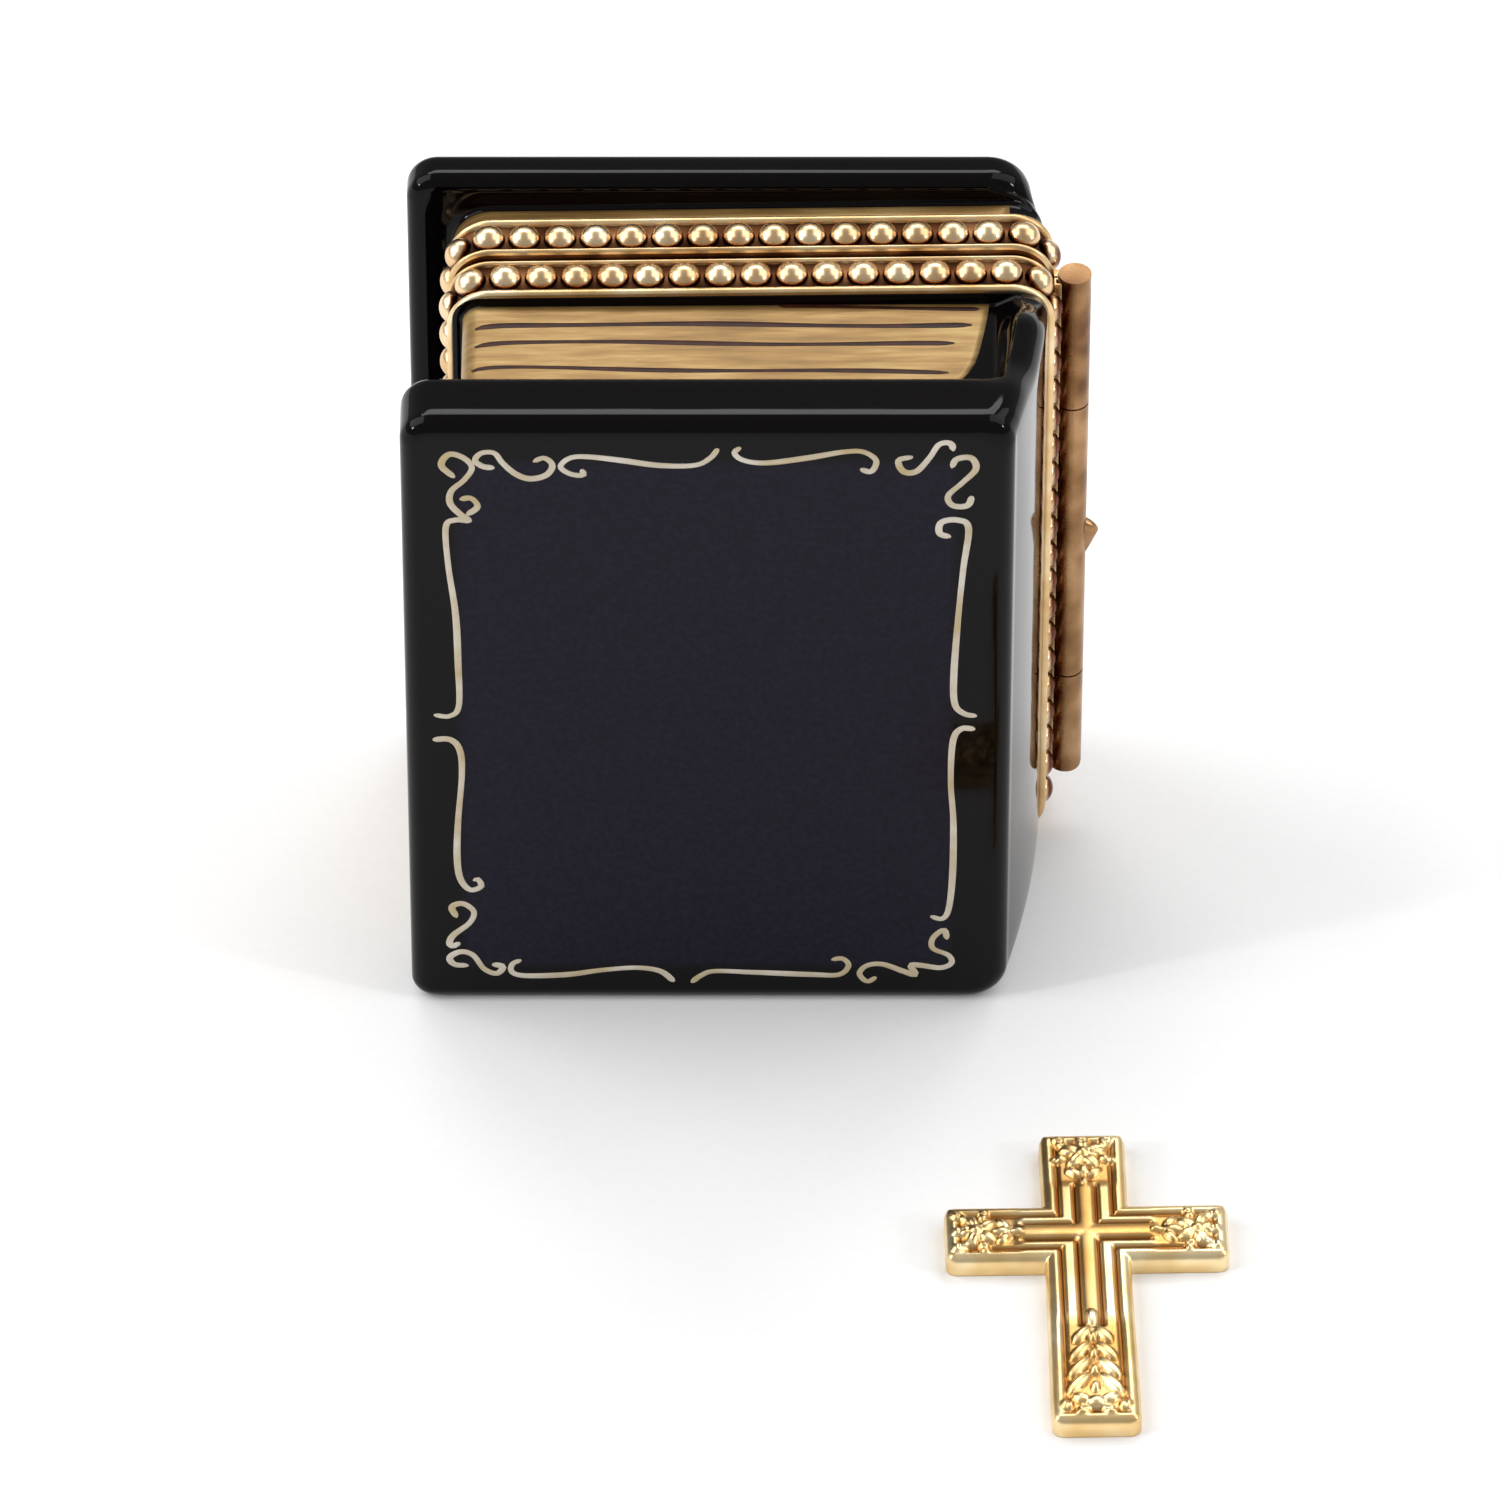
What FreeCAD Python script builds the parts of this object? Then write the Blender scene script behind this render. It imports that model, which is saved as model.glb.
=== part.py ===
"""A small hinged porcelain box made as a prayer book, with a loose gilt cross.

The book stands on its foot. +X is the spine, +Y the back cover, +Z the head.
The origin is on the table, at the middle of the closed covers.
All sizes are millimetres, and the ones that drive the model are in the sheet.
"""
import FreeCAD
import Part
import math
import os

import Sketcher
from FreeCAD import Placement, Rotation, Vector

SIZES = {
    # covers
    "cover_width": 38.0,
    "cover_height": 48.9,
    "front_depth": 18.85,
    "back_depth": 7.95,
    "front_board": 4.9,
    "back_board": 3.1,
    "board_corner": 2.0,
    "foot_corner": 1.4,
    "board_edge_round": 1.0,
    "back_board_spine": 20.6,
    "lid_lift": 0.2,
    # rim of both halves, where the metal is fitted
    "rim_fore": 16.0,
    "rim_spine": 21.65,
    "rim_foot": 0.75,
    "rim_head": 46.4,
    "rim_corner": 2.4,
    "parting_gap": 0.2,
    "spine_waist": 20.95,
    "spine_front": 19.3,
    "spine_head": 48.1,
    "spine_ridge_width": 2.8,
    "spine_ridge_slope": 4.2,
    "page_recess": 0.7,
    # hollow
    "wall": 2.9,
    "cavity_corner": 1.6,
    "cover_floor": 3.0,
    # gilt mounts
    "bezel_width": 3.4,
    "band_thickness": 0.5,
    "lip_height": 0.35,
    "outer_lip": 0.5,
    "mating_lip": 0.4,
    "flange_thickness": 0.5,
    "collar_thickness": 0.45,
    "collar_height": 0.5,
    "bead_radius": 0.92,
    "bead_height": 0.62,
    "bead_sink": 0.2,
    "bead_pitch": 2.26,
    # hinge
    "hinge_reach": 23.3,
    "barrel_radius": 1.05,
    "pin_radius": 0.5,
    "pin_clearance": 0.04,
    "hinge_low": 4.1,
    "hinge_high": 45.0,
    "lower_joint": 12.1,
    "upper_joint": 34.8,
    "knuckle_gap": 0.12,
    "pin_head": 0.3,
    "bearer_width": 0.65,
    "bearer_clearance": 0.08,
    "lug_reach": 1.85,
    "lug_width": 1.1,
    "lug_height": 4.2,
    "lug_middle": 23.0,
    # clasp
    "clasp_middle": 24.0,
    "tongue_height": 4.6,
    "tongue_thickness": 0.5,
    "tongue_length": 5.6,
    "stud_radius": 0.8,
    "clasp_clearance": 0.12,
    # loose cross
    "cross_length": 25.9,
    "cross_width": 17.9,
    "cross_bar": 5.4,
    "cross_arm_bar": 4.9,
    "cross_thickness": 1.6,
    "cross_head": 6.5,
    "cross_bevel": 0.45,
    "rib_width": 1.8,
    "rib_height": 0.25,
    "cross_x": 24.0,
    "cross_y": 36.15,
    "cross_turn": 1.2,
}

doc = FreeCAD.newDocument("prayer_book")
sheet = doc.addObject("Spreadsheet::Sheet", "sizes")


def fill_sheet():
    """Write every driving size as a plain number with an alias."""
    for row, (alias, size) in enumerate(SIZES.items(), start=1):
        sheet.set(f"A{row}", alias)
        sheet.set(f"B{row}", str(size))
        sheet.setAlias(f"B{row}", alias)
    doc.recompute()


fill_sheet()

# Places that several pieces share, as expressions over the sheet.
PARTING = "(sizes.front_depth - sizes.back_depth) / 2"
FRONT_FACE = f"{PARTING} - sizes.front_depth"
BACK_FACE = f"{PARTING} + sizes.back_depth"
FRONT_MATE = f"{PARTING} - sizes.parting_gap / 2"
BACK_MATE = f"{PARTING} + sizes.parting_gap / 2"
FRONT_RIM_END = f"{FRONT_MATE} - sizes.flange_thickness"
BACK_RIM_END = f"{BACK_MATE} + sizes.flange_thickness"
FRONT_BEZEL_END = f"{FRONT_MATE} - sizes.bezel_width"
BACK_BEZEL_END = f"{BACK_MATE} + sizes.bezel_width"


def value(expression):
    """The number that an expression over the sheet stands for."""
    return float(sheet.evalExpression(expression))


def size(alias):
    """One driving size, as a number."""
    return value(f"sizes.{alias}")


def new_body(name):
    body = doc.addObject("PartDesign::Body", name)
    body.Label = name
    return body


def new_sketch(body, name, role, offset):
    """A sketch on one of the body's own planes, offset along that plane's normal."""
    sketch = body.newObject("Sketcher::SketchObject", name)
    planes = [plane for plane in body.Origin.OriginFeatures if plane.Role == role]
    sketch.AttachmentSupport = (planes[0], [""])
    sketch.MapMode = "FlatFace"
    sketch.setExpression("AttachmentOffset.Base.z", offset)
    return sketch


def dimension(sketch, constraint, expression):
    index = sketch.addConstraint(constraint)
    sketch.setExpression(f"Constraints[{index}]", expression)


def rounded_loop(sketch, left, right, low, high, radii):
    """A rectangle with four tangent corner arcs; radii run from the low right corner on."""
    x0, x1, z0, z1 = (value(text) for text in (left, right, low, high))
    low_right, high_right, high_left, low_left = (value(text) for text in radii)
    first = sketch.GeometryCount
    corners = (
        (x1 - low_right, z0 + low_right, low_right, -90),
        (x1 - high_right, z1 - high_right, high_right, 0),
        (x0 + high_left, z1 - high_left, high_left, 90),
        (x0 + low_left, z0 + low_left, low_left, 180),
    )
    starts = (
        (x0 + low_left, z0),
        (x1, z0 + low_right),
        (x1 - high_right, z1),
        (x0, z1 - high_left),
    )
    ends = (
        (x1 - low_right, z0),
        (x1, z1 - high_right),
        (x0 + high_left, z1),
        (x0, z0 + low_left),
    )
    for start, end, (cx, cz, radius, angle) in zip(starts, ends, corners):
        sketch.addGeometry(Part.LineSegment(Vector(*start, 0), Vector(*end, 0)))
        circle = Part.Circle(Vector(cx, cz, 0), Vector(0, 0, 1), radius)
        sketch.addGeometry(Part.ArcOfCircle(circle, math.radians(angle), math.radians(angle + 90)))
    for step in range(8):
        here = first + step
        after = first + (step + 1) % 8
        sketch.addConstraint(Sketcher.Constraint("Tangent", here, 2, after, 1))
    for line, kind in ((0, "Horizontal"), (2, "Vertical"), (4, "Horizontal"), (6, "Vertical")):
        sketch.addConstraint(Sketcher.Constraint(kind, first + line))
    dimension(sketch, Sketcher.Constraint("DistanceY", first, 1, z0), low)
    dimension(sketch, Sketcher.Constraint("DistanceX", first + 2, 1, x1), right)
    dimension(sketch, Sketcher.Constraint("DistanceY", first + 4, 1, z1), high)
    dimension(sketch, Sketcher.Constraint("DistanceX", first + 6, 1, x0), left)
    for arc, radius, text in zip((1, 3, 5, 7), (low_right, high_right, high_left, low_left), radii):
        dimension(sketch, Sketcher.Constraint("Radius", first + arc, radius), text)


def rim_loop(sketch, proud, foot=None, corner=None):
    """The rim's outline, moved outwards by proud (inwards when it is negative)."""
    radius = corner or f"sizes.rim_corner + ({proud})"
    rounded_loop(
        sketch,
        left=f"-(sizes.rim_fore + ({proud}))",
        right=f"sizes.rim_spine + ({proud})",
        low=foot or f"sizes.rim_foot - ({proud})",
        high=f"sizes.rim_head + ({proud})",
        radii=[radius] * 4,
    )


def extrude(body, kind, sketch, length, backwards):
    """A pad or a pocket; it raises an error if the solid's volume doesn't change as it should."""
    doc.recompute()
    before = body.Shape.Volume if body.Tip else 0.0
    feature = body.newObject(kind, f"{sketch.Name}_solid")
    feature.Profile = sketch
    feature.Reversed = backwards
    feature.setExpression("Length", length)
    doc.recompute()
    grown = body.Shape.Volume - before
    wanted = 1 if kind == "PartDesign::Pad" else -1
    if grown * wanted <= 1e-6:
        raise RuntimeError(f"{feature.Name} changed the volume by {grown:.3f}")


def pad(body, sketch, length):
    extrude(body, "PartDesign::Pad", sketch, length, False)


def cut(body, sketch, length):
    extrude(body, "PartDesign::Pocket", sketch, length, True)


def section_sketch(body, name, far_face):
    """A sketch across the book's depth; its pads and pockets run from far_face towards -Y."""
    return new_sketch(body, name, "XZ_Plane", f"-({far_face})")


def chain(sketch, points):
    """A closed chain of edges. A corner with a third entry starts an arc through that point."""
    corners = [Vector(*point[:2], 0) for point in points]
    ends = []
    for index, corner in enumerate(corners):
        after = corners[(index + 1) % len(corners)]
        if len(points[index]) == 2:
            sketch.addGeometry(Part.LineSegment(corner, after))
            ends.append((1, 2))
            continue
        bulge = Vector(*points[index][2], 0)
        turns_left = (bulge - corner).cross(after - bulge).z > 0
        if turns_left:
            sketch.addGeometry(Part.Arc(corner, bulge, after))
        else:
            sketch.addGeometry(Part.Arc(after, bulge, corner))
        ends.append((1, 2) if turns_left else (2, 1))
    for index in range(len(corners)):
        following = (index + 1) % len(corners)
        sketch.addConstraint(
            Sketcher.Constraint("Coincident", index, ends[index][1], following, ends[following][0])
        )
    sketch.addConstraint([Sketcher.Constraint("Block", index) for index in range(len(corners))])


def round_edges(body, name, radius, wanted):
    """A fillet on the tip's edges that wanted picks, from each edge's bounding box."""
    doc.recompute()
    tip = body.Tip
    names = [
        f"Edge{number}"
        for number, edge in enumerate(tip.Shape.Edges, start=1)
        if wanted(edge.BoundBox)
    ]
    if not names:
        raise RuntimeError(f"{name} found no edge")
    fillet = body.newObject("PartDesign::Fillet", name)
    fillet.Base = (tip, names)
    fillet.setExpression("Radius", radius)
    doc.recompute()


def lies_on(box, axis, place, tolerance=0.01):
    """Whether an edge lies in the plane at place, across axis x, y or z."""
    low = getattr(box, f"{axis.upper()}Min")
    high = getattr(box, f"{axis.upper()}Max")
    return abs(low - place) < tolerance and abs(high - place) < tolerance


# ---------------------------------------------------------------- porcelain


def spine_trim(body, name, points):
    """Cut away what lies outside the rounded spine, seen from above."""
    sketch = new_sketch(body, name, "XY_Plane", "0")
    chain(sketch, points)
    cut(body, sketch, "sizes.cover_height + 1")


def make_front_shell():
    """The deep half: front board, pages, spine and the hollow that opens towards the back."""
    body = new_body("front_shell")
    board = section_sketch(body, "front_cover", f"{FRONT_FACE} + sizes.front_board")
    rounded_loop(
        board,
        left="-sizes.cover_width / 2",
        right="sizes.cover_width / 2 + 1",
        low="0",
        high="sizes.cover_height",
        radii=["sizes.board_corner + 0.5", "sizes.board_corner", "sizes.board_corner", "sizes.foot_corner"],
    )
    pad(body, board, "sizes.front_board")

    pages = section_sketch(body, "front_pages", FRONT_BEZEL_END)
    rounded_loop(
        pages,
        left="-(sizes.rim_fore - sizes.page_recess)",
        right="sizes.rim_spine",
        low="0",
        high="sizes.rim_head - sizes.page_recess",
        radii=["sizes.rim_corner", "sizes.rim_corner", "1", "1"],
    )
    pad(body, pages, f"{FRONT_BEZEL_END} - ({FRONT_FACE} + sizes.front_board / 2)")

    ridge = new_sketch(body, "spine_ridge", "YZ_Plane", "sizes.rim_spine - sizes.spine_ridge_width")
    board_rear = value(f"{FRONT_FACE} + sizes.front_board")
    bezel_front = value(FRONT_BEZEL_END)
    head = size("spine_head")
    ridge_foot = size("rim_head") - 1.5
    slope_start = bezel_front - size("spine_ridge_slope")
    slope_middle = ((slope_start + bezel_front) / 2, (head + size("rim_head")) / 2 + 0.2)
    chain(ridge, [
        (board_rear - 1, ridge_foot),
        (bezel_front - 0.05, ridge_foot),
        (bezel_front - 0.05, size("rim_head"), slope_middle),
        (slope_start, head),
        (board_rear - 1, head),
    ])
    pad(body, ridge, "sizes.spine_ridge_width")

    front_face = value(FRONT_FACE)
    spine = size("rim_spine")
    spine_trim(body, "front_spine_trim", [
        (size("cover_width") / 2, front_face - 1),
        (size("spine_front") - 0.3, front_face, (size("spine_waist"), (front_face + bezel_front) / 2)),
        (spine, bezel_front + 0.01),
        (spine + 4, bezel_front + 0.01),
        (spine + 4, front_face - 1),
    ])

    seat = section_sketch(body, "front_seat", FRONT_RIM_END)
    rim_loop(seat, "-sizes.band_thickness")
    pad(body, seat, f"{FRONT_RIM_END} - ({FRONT_BEZEL_END}) + 1")

    hollow = section_sketch(body, "front_hollow", FRONT_RIM_END)
    rim_loop(hollow, "-sizes.wall", corner="sizes.cavity_corner")
    cut(body, hollow, f"{FRONT_RIM_END} - ({FRONT_FACE} + sizes.cover_floor)")
    round_edges(body, "front_board_round", "sizes.board_edge_round",
                lambda box: lies_on(box, "y", front_face))
    return body


def make_back_shell():
    """The shallow half, which swings as the lid. It stands just clear of the table."""
    body = new_body("back_shell")
    board = section_sketch(body, "back_cover", BACK_FACE)
    rounded_loop(
        board,
        left="-sizes.cover_width / 2",
        right="sizes.back_board_spine",
        low="sizes.lid_lift",
        high="sizes.cover_height",
        radii=["sizes.board_corner + 0.5", "sizes.board_corner + 0.8", "sizes.board_corner",
               "sizes.foot_corner"],
    )
    pad(body, board, "sizes.back_board")
    back_face = value(BACK_FACE)
    round_edges(body, "back_board_round", "sizes.board_edge_round",
                lambda box: lies_on(box, "y", back_face))

    pages = section_sketch(body, "back_pages", f"{BACK_FACE} - sizes.back_board / 2")
    rim_loop(pages, "0", foot="sizes.lid_lift")
    pad(body, pages, f"{BACK_FACE} - sizes.back_board / 2 - ({BACK_BEZEL_END})")

    bezel_back = value(BACK_BEZEL_END)
    pages_end = value(f"{BACK_FACE} - sizes.back_board / 2")
    spine = size("rim_spine")
    board_spine = size("back_board_spine")
    spine_trim(body, "back_spine_trim", [
        (spine, bezel_back - 0.01, (spine - 0.25, (bezel_back + pages_end) / 2)),
        (board_spine, pages_end),
        (board_spine, pages_end + 1),
        (spine + 4, pages_end + 1),
        (spine + 4, bezel_back - 0.01),
    ])

    seat = section_sketch(body, "back_seat", f"{BACK_BEZEL_END} + 1")
    rim_loop(seat, "-sizes.band_thickness")
    pad(body, seat, f"{BACK_BEZEL_END} + 1 - ({BACK_RIM_END})")

    hollow = section_sketch(body, "back_hollow", f"{BACK_FACE} - sizes.cover_floor")
    rim_loop(hollow, "-sizes.wall", corner="sizes.cavity_corner")
    cut(body, hollow, f"{BACK_FACE} - sizes.cover_floor - ({BACK_RIM_END})")
    return body


# ---------------------------------------------------------------- gilt mounts


def ring(body, name, far_face, length, outer, inner, inner_corner=None, outer_corner=None):
    """A closed strip round the rim, between two offsets of the rim's outline."""
    sketch = section_sketch(body, name, far_face)
    rim_loop(sketch, outer, corner=outer_corner)
    rim_loop(sketch, inner, corner=inner_corner)
    pad(body, sketch, length)


def make_front_bezel():
    """The strip round the deep half's rim, with two raised lips and a flange over the rim."""
    body = new_body("front_bezel")
    inside = "-sizes.band_thickness"
    ring(body, "front_band", FRONT_MATE, "sizes.bezel_width", "0", inside)
    ring(body, "front_mating_lip", FRONT_MATE, "sizes.mating_lip", "sizes.lip_height", inside)
    ring(body, "front_outer_lip", f"{FRONT_BEZEL_END} + sizes.outer_lip", "sizes.outer_lip",
         "sizes.lip_height", inside)
    ring(body, "front_flange", FRONT_MATE, "sizes.flange_thickness", inside, "-sizes.wall",
         "sizes.cavity_corner")
    return body


def make_back_bezel():
    """The matching strip round the lid's rim; its flange leaves room for the collar."""
    body = new_body("back_bezel")
    inside = "-sizes.band_thickness"
    ring(body, "back_band", BACK_BEZEL_END, "sizes.bezel_width", "0", inside)
    ring(body, "back_mating_lip", f"{BACK_MATE} + sizes.mating_lip", "sizes.mating_lip",
         "sizes.lip_height", inside)
    ring(body, "back_outer_lip", BACK_BEZEL_END, "sizes.outer_lip", "sizes.lip_height", inside)
    ring(body, "back_flange", BACK_RIM_END, "sizes.flange_thickness", inside,
         "-(sizes.wall - sizes.collar_thickness - 0.15)", "sizes.cavity_corner")
    return body


def make_inner_collar():
    """The strip that stands on the front flange and locates the lid."""
    body = new_body("inner_collar")
    ring(body, "collar_strip", f"{FRONT_MATE} + sizes.collar_height", "sizes.collar_height",
         "-(sizes.wall - sizes.collar_thickness)", "-sizes.wall", "sizes.cavity_corner",
         "sizes.cavity_corner + sizes.collar_thickness")
    return body


def rim_place(distance):
    """The point and outward direction at a distance along the rim, from the middle of the head."""
    left = -size("rim_fore")
    right = size("rim_spine")
    low = size("rim_foot")
    high = size("rim_head")
    radius = size("rim_corner")
    half_turn = math.pi / 2
    flats = (
        (Vector((left + right) / 2, 0, high), Vector(1, 0, 0), (right - left) / 2 - radius),
        (Vector(right, 0, high - radius), Vector(0, 0, -1), high - low - 2 * radius),
        (Vector(right - radius, 0, low), Vector(-1, 0, 0), right - left - 2 * radius),
        (Vector(left, 0, low + radius), Vector(0, 0, 1), high - low - 2 * radius),
        (Vector(left + radius, 0, high), Vector(1, 0, 0), (right - left) / 2 - radius),
    )
    for start, direction, length in flats:
        outward = Vector(-direction.z, 0, direction.x)
        if distance <= length:
            return start + direction * distance, outward
        distance -= length
        if distance <= radius * half_turn:
            turn = distance / radius
            centre = start + direction * length - outward * radius
            radial = outward * math.cos(turn) + direction * math.sin(turn)
            return centre + radial * radius, radial
        distance -= radius * half_turn
    raise RuntimeError("the distance is longer than the rim")


def rim_length():
    across = size("rim_fore") + size("rim_spine") + size("rim_head") - size("rim_foot")
    radius = size("rim_corner")
    return 2 * across - 8 * radius + 2 * math.pi * radius


def make_beading(name, middle_y, first):
    """A row of half-round beads on one band, left open where the clasp is fixed."""
    base = size("bead_radius")
    rise = size("bead_height")
    sink = size("bead_sink")
    ball = (base * base + rise * rise) / (2 * rise)
    around = rim_length()
    count = round(around / size("bead_pitch"))
    beads = []
    for index in range(count):
        place, outward = rim_place((first + index * around / count) % around)
        on_fore_edge = outward.x < -0.99
        if on_fore_edge and abs(place.z - size("clasp_middle")) < size("tongue_height") / 2 + base:
            continue
        cap = Part.makeSphere(ball, Vector(0, 0, rise - ball), Vector(0, 0, 1), -90, 90, 360)
        keep = Part.makeCylinder(base, rise + sink, Vector(0, 0, -sink))
        bead = cap.common(keep)
        bead.Placement = Placement(place + Vector(0, middle_y, 0), Rotation(Vector(0, 0, 1), outward))
        beads.append(bead)
    beading = doc.addObject("Part::Feature", name)
    beading.Shape = Part.makeCompound(beads)
    beading.Label = name
    return beading


# ---------------------------------------------------------------- hinge


def circle_sketch(sketch, x, y, radius):
    """A circle at a place given by expressions."""
    number = sketch.addGeometry(Part.Circle(Vector(value(x), value(y), 0), Vector(0, 0, 1), value(radius)))
    dimension(sketch, Sketcher.Constraint("DistanceX", number, 3, value(x)), x)
    dimension(sketch, Sketcher.Constraint("DistanceY", number, 3, value(y)), y)
    dimension(sketch, Sketcher.Constraint("Radius", number, value(radius)), radius)


def rectangle(sketch, x0, x1, y0, y1):
    """A plain rectangle between four expressions."""
    left, right, low, high = (value(text) for text in (x0, x1, y0, y1))
    first = sketch.GeometryCount
    corners = [Vector(left, low, 0), Vector(right, low, 0), Vector(right, high, 0), Vector(left, high, 0)]
    for index in range(4):
        sketch.addGeometry(Part.LineSegment(corners[index], corners[(index + 1) % 4]))
    for index in range(4):
        sketch.addConstraint(
            Sketcher.Constraint("Coincident", first + index, 2, first + (index + 1) % 4, 1)
        )
        kind = "Horizontal" if index % 2 == 0 else "Vertical"
        sketch.addConstraint(Sketcher.Constraint(kind, first + index))
    dimension(sketch, Sketcher.Constraint("DistanceX", first, 1, left), x0)
    dimension(sketch, Sketcher.Constraint("DistanceY", first, 1, low), y0)
    dimension(sketch, Sketcher.Constraint("DistanceX", first + 1, 2, right), x1)
    dimension(sketch, Sketcher.Constraint("DistanceY", first + 1, 2, high), y1)


def bearer_faces(side):
    """The near and far faces of a bearer; side is -1 on the front half and 1 on the back half."""
    mate = FRONT_MATE if side < 0 else BACK_MATE
    far = f"{mate} + ({side}) * sizes.bearer_width"
    return (far, mate) if side < 0 else (mate, far)


def make_bearer(name, side):
    """The strip on a bezel's spine side that the knuckles are soldered to, hollowed for the barrel."""
    body = new_body(name)
    low, high = bearer_faces(side)
    strip = new_sketch(body, f"{name}_strip", "XY_Plane", "sizes.hinge_low")
    rectangle(strip, "sizes.rim_spine + sizes.lip_height",
              "sizes.hinge_reach - sizes.barrel_radius + 0.3", low, high)
    pad(body, strip, "sizes.hinge_high - sizes.hinge_low")
    groove = new_sketch(body, f"{name}_groove", "XY_Plane", "sizes.hinge_low")
    circle_sketch(groove, "sizes.hinge_reach", PARTING, "sizes.barrel_radius + sizes.bearer_clearance")
    cut(body, groove, "sizes.hinge_high - sizes.hinge_low")
    return body


def make_knuckle(name, side, low, high):
    """A length of tube with a web that joins it to its own half's bearer."""
    body = new_body(name)
    tube = new_sketch(body, f"{name}_tube", "XY_Plane", low)
    circle_sketch(tube, "sizes.hinge_reach", PARTING, "sizes.barrel_radius")
    pad(body, tube, f"{high} - ({low})")
    near_face, far_face = bearer_faces(side)
    web = new_sketch(body, f"{name}_web", "XY_Plane", low)
    rectangle(web, "sizes.rim_spine + sizes.lip_height + 0.1", "sizes.hinge_reach - sizes.pin_radius - 0.1",
              f"{near_face} + 0.12", f"{far_face} - 0.12")
    pad(body, web, f"{high} - ({low})")
    bore = new_sketch(body, f"{name}_bore", "XY_Plane", low)
    circle_sketch(bore, "sizes.hinge_reach", PARTING, "sizes.pin_radius + sizes.pin_clearance")
    cut(body, bore, f"{high} - ({low})")
    return body


def make_hinge_pin():
    """The pin through the three knuckles, with a flat head at each end."""
    body = new_body("hinge_pin")
    for name, low, high, radius in (
        ("pin_foot", "sizes.hinge_low - sizes.pin_head", "sizes.hinge_low", "sizes.barrel_radius - 0.05"),
        ("pin_shank", "sizes.hinge_low", "sizes.hinge_high", "sizes.pin_radius"),
        ("pin_top", "sizes.hinge_high", "sizes.hinge_high + sizes.pin_head", "sizes.barrel_radius"),
    ):
        sketch = new_sketch(body, name, "XY_Plane", low)
        circle_sketch(sketch, "sizes.hinge_reach", PARTING, radius)
        pad(body, sketch, f"{high} - ({low})")
    return body


def make_stop_lug():
    """The rounded lug on the middle knuckle that meets the front bearer when the lid is open."""
    body = new_body("hinge_stop_lug")
    sketch = new_sketch(body, "lug_plan", "XY_Plane", "sizes.lug_middle - sizes.lug_height / 2")
    rectangle(sketch, "sizes.hinge_reach + sizes.barrel_radius - 0.12",
              "sizes.hinge_reach + sizes.lug_reach", f"{PARTING} - sizes.lug_width / 2",
              f"{PARTING} + sizes.lug_width / 2")
    pad(body, sketch, "sizes.lug_height")
    tip = value("sizes.hinge_reach + sizes.lug_reach")
    round_edges(body, "lug_round", "0.35", lambda box: lies_on(box, "x", tip))
    return body


# ---------------------------------------------------------------- clasp

TONGUE_FACE = "-(sizes.rim_fore + sizes.bead_height + 0.1)"


def make_clasp_tongue():
    """The spring tab fixed to the lid's bezel; it reaches over the parting to the stud."""
    body = new_body("clasp_tongue")
    plate = new_sketch(body, "tongue_plate", "YZ_Plane", f"{TONGUE_FACE} - sizes.tongue_thickness")
    rounded_loop(
        plate,
        left=f"{BACK_MATE} + sizes.bezel_width - 0.5 - sizes.tongue_length",
        right=f"{BACK_MATE} + sizes.bezel_width - 0.5",
        low="sizes.clasp_middle - sizes.tongue_height / 2",
        high="sizes.clasp_middle + sizes.tongue_height / 2",
        radii=["0.5", "0.5", "sizes.tongue_height / 2 - 0.3", "sizes.tongue_height / 2 - 0.3"],
    )
    pad(body, plate, "sizes.tongue_thickness")
    foot = new_sketch(body, "tongue_foot", "YZ_Plane", TONGUE_FACE)
    rounded_loop(
        foot,
        left=f"{BACK_MATE} + sizes.mating_lip + 0.1",
        right=f"{BACK_MATE} + sizes.bezel_width - sizes.outer_lip - 0.1",
        low="sizes.clasp_middle - sizes.tongue_height / 2 + 0.4",
        high="sizes.clasp_middle + sizes.tongue_height / 2 - 0.4",
        radii=["0.3"] * 4,
    )
    pad(body, foot, "sizes.bead_height + 0.1")
    return body


def make_clasp_stud():
    """The stud on the front bezel that the tongue snaps over."""
    stud = doc.addObject("Part::Cylinder", "clasp_stud")
    stud.Label = "clasp_stud"
    stud.setExpression("Radius", "sizes.stud_radius")
    stud.setExpression("Height", "sizes.bead_height + 0.1 - sizes.clasp_clearance")
    stud.Placement = Placement(
        Vector(-size("rim_fore"), value(FRONT_MATE) - size("bezel_width") / 2, size("clasp_middle")),
        Rotation(Vector(0, 0, 1), Vector(-1, 0, 0)),
    )
    return stud


# ---------------------------------------------------------------- cross


def bar(body, name, half_width, left, right, height, base):
    """One straight bar of the cross, in plan."""
    sketch = new_sketch(body, name, "XY_Plane", base)
    rounded_loop(sketch, left=f"-({half_width})", right=half_width, low=left, high=right, radii=["0.5"] * 4)
    pad(body, sketch, height)


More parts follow.
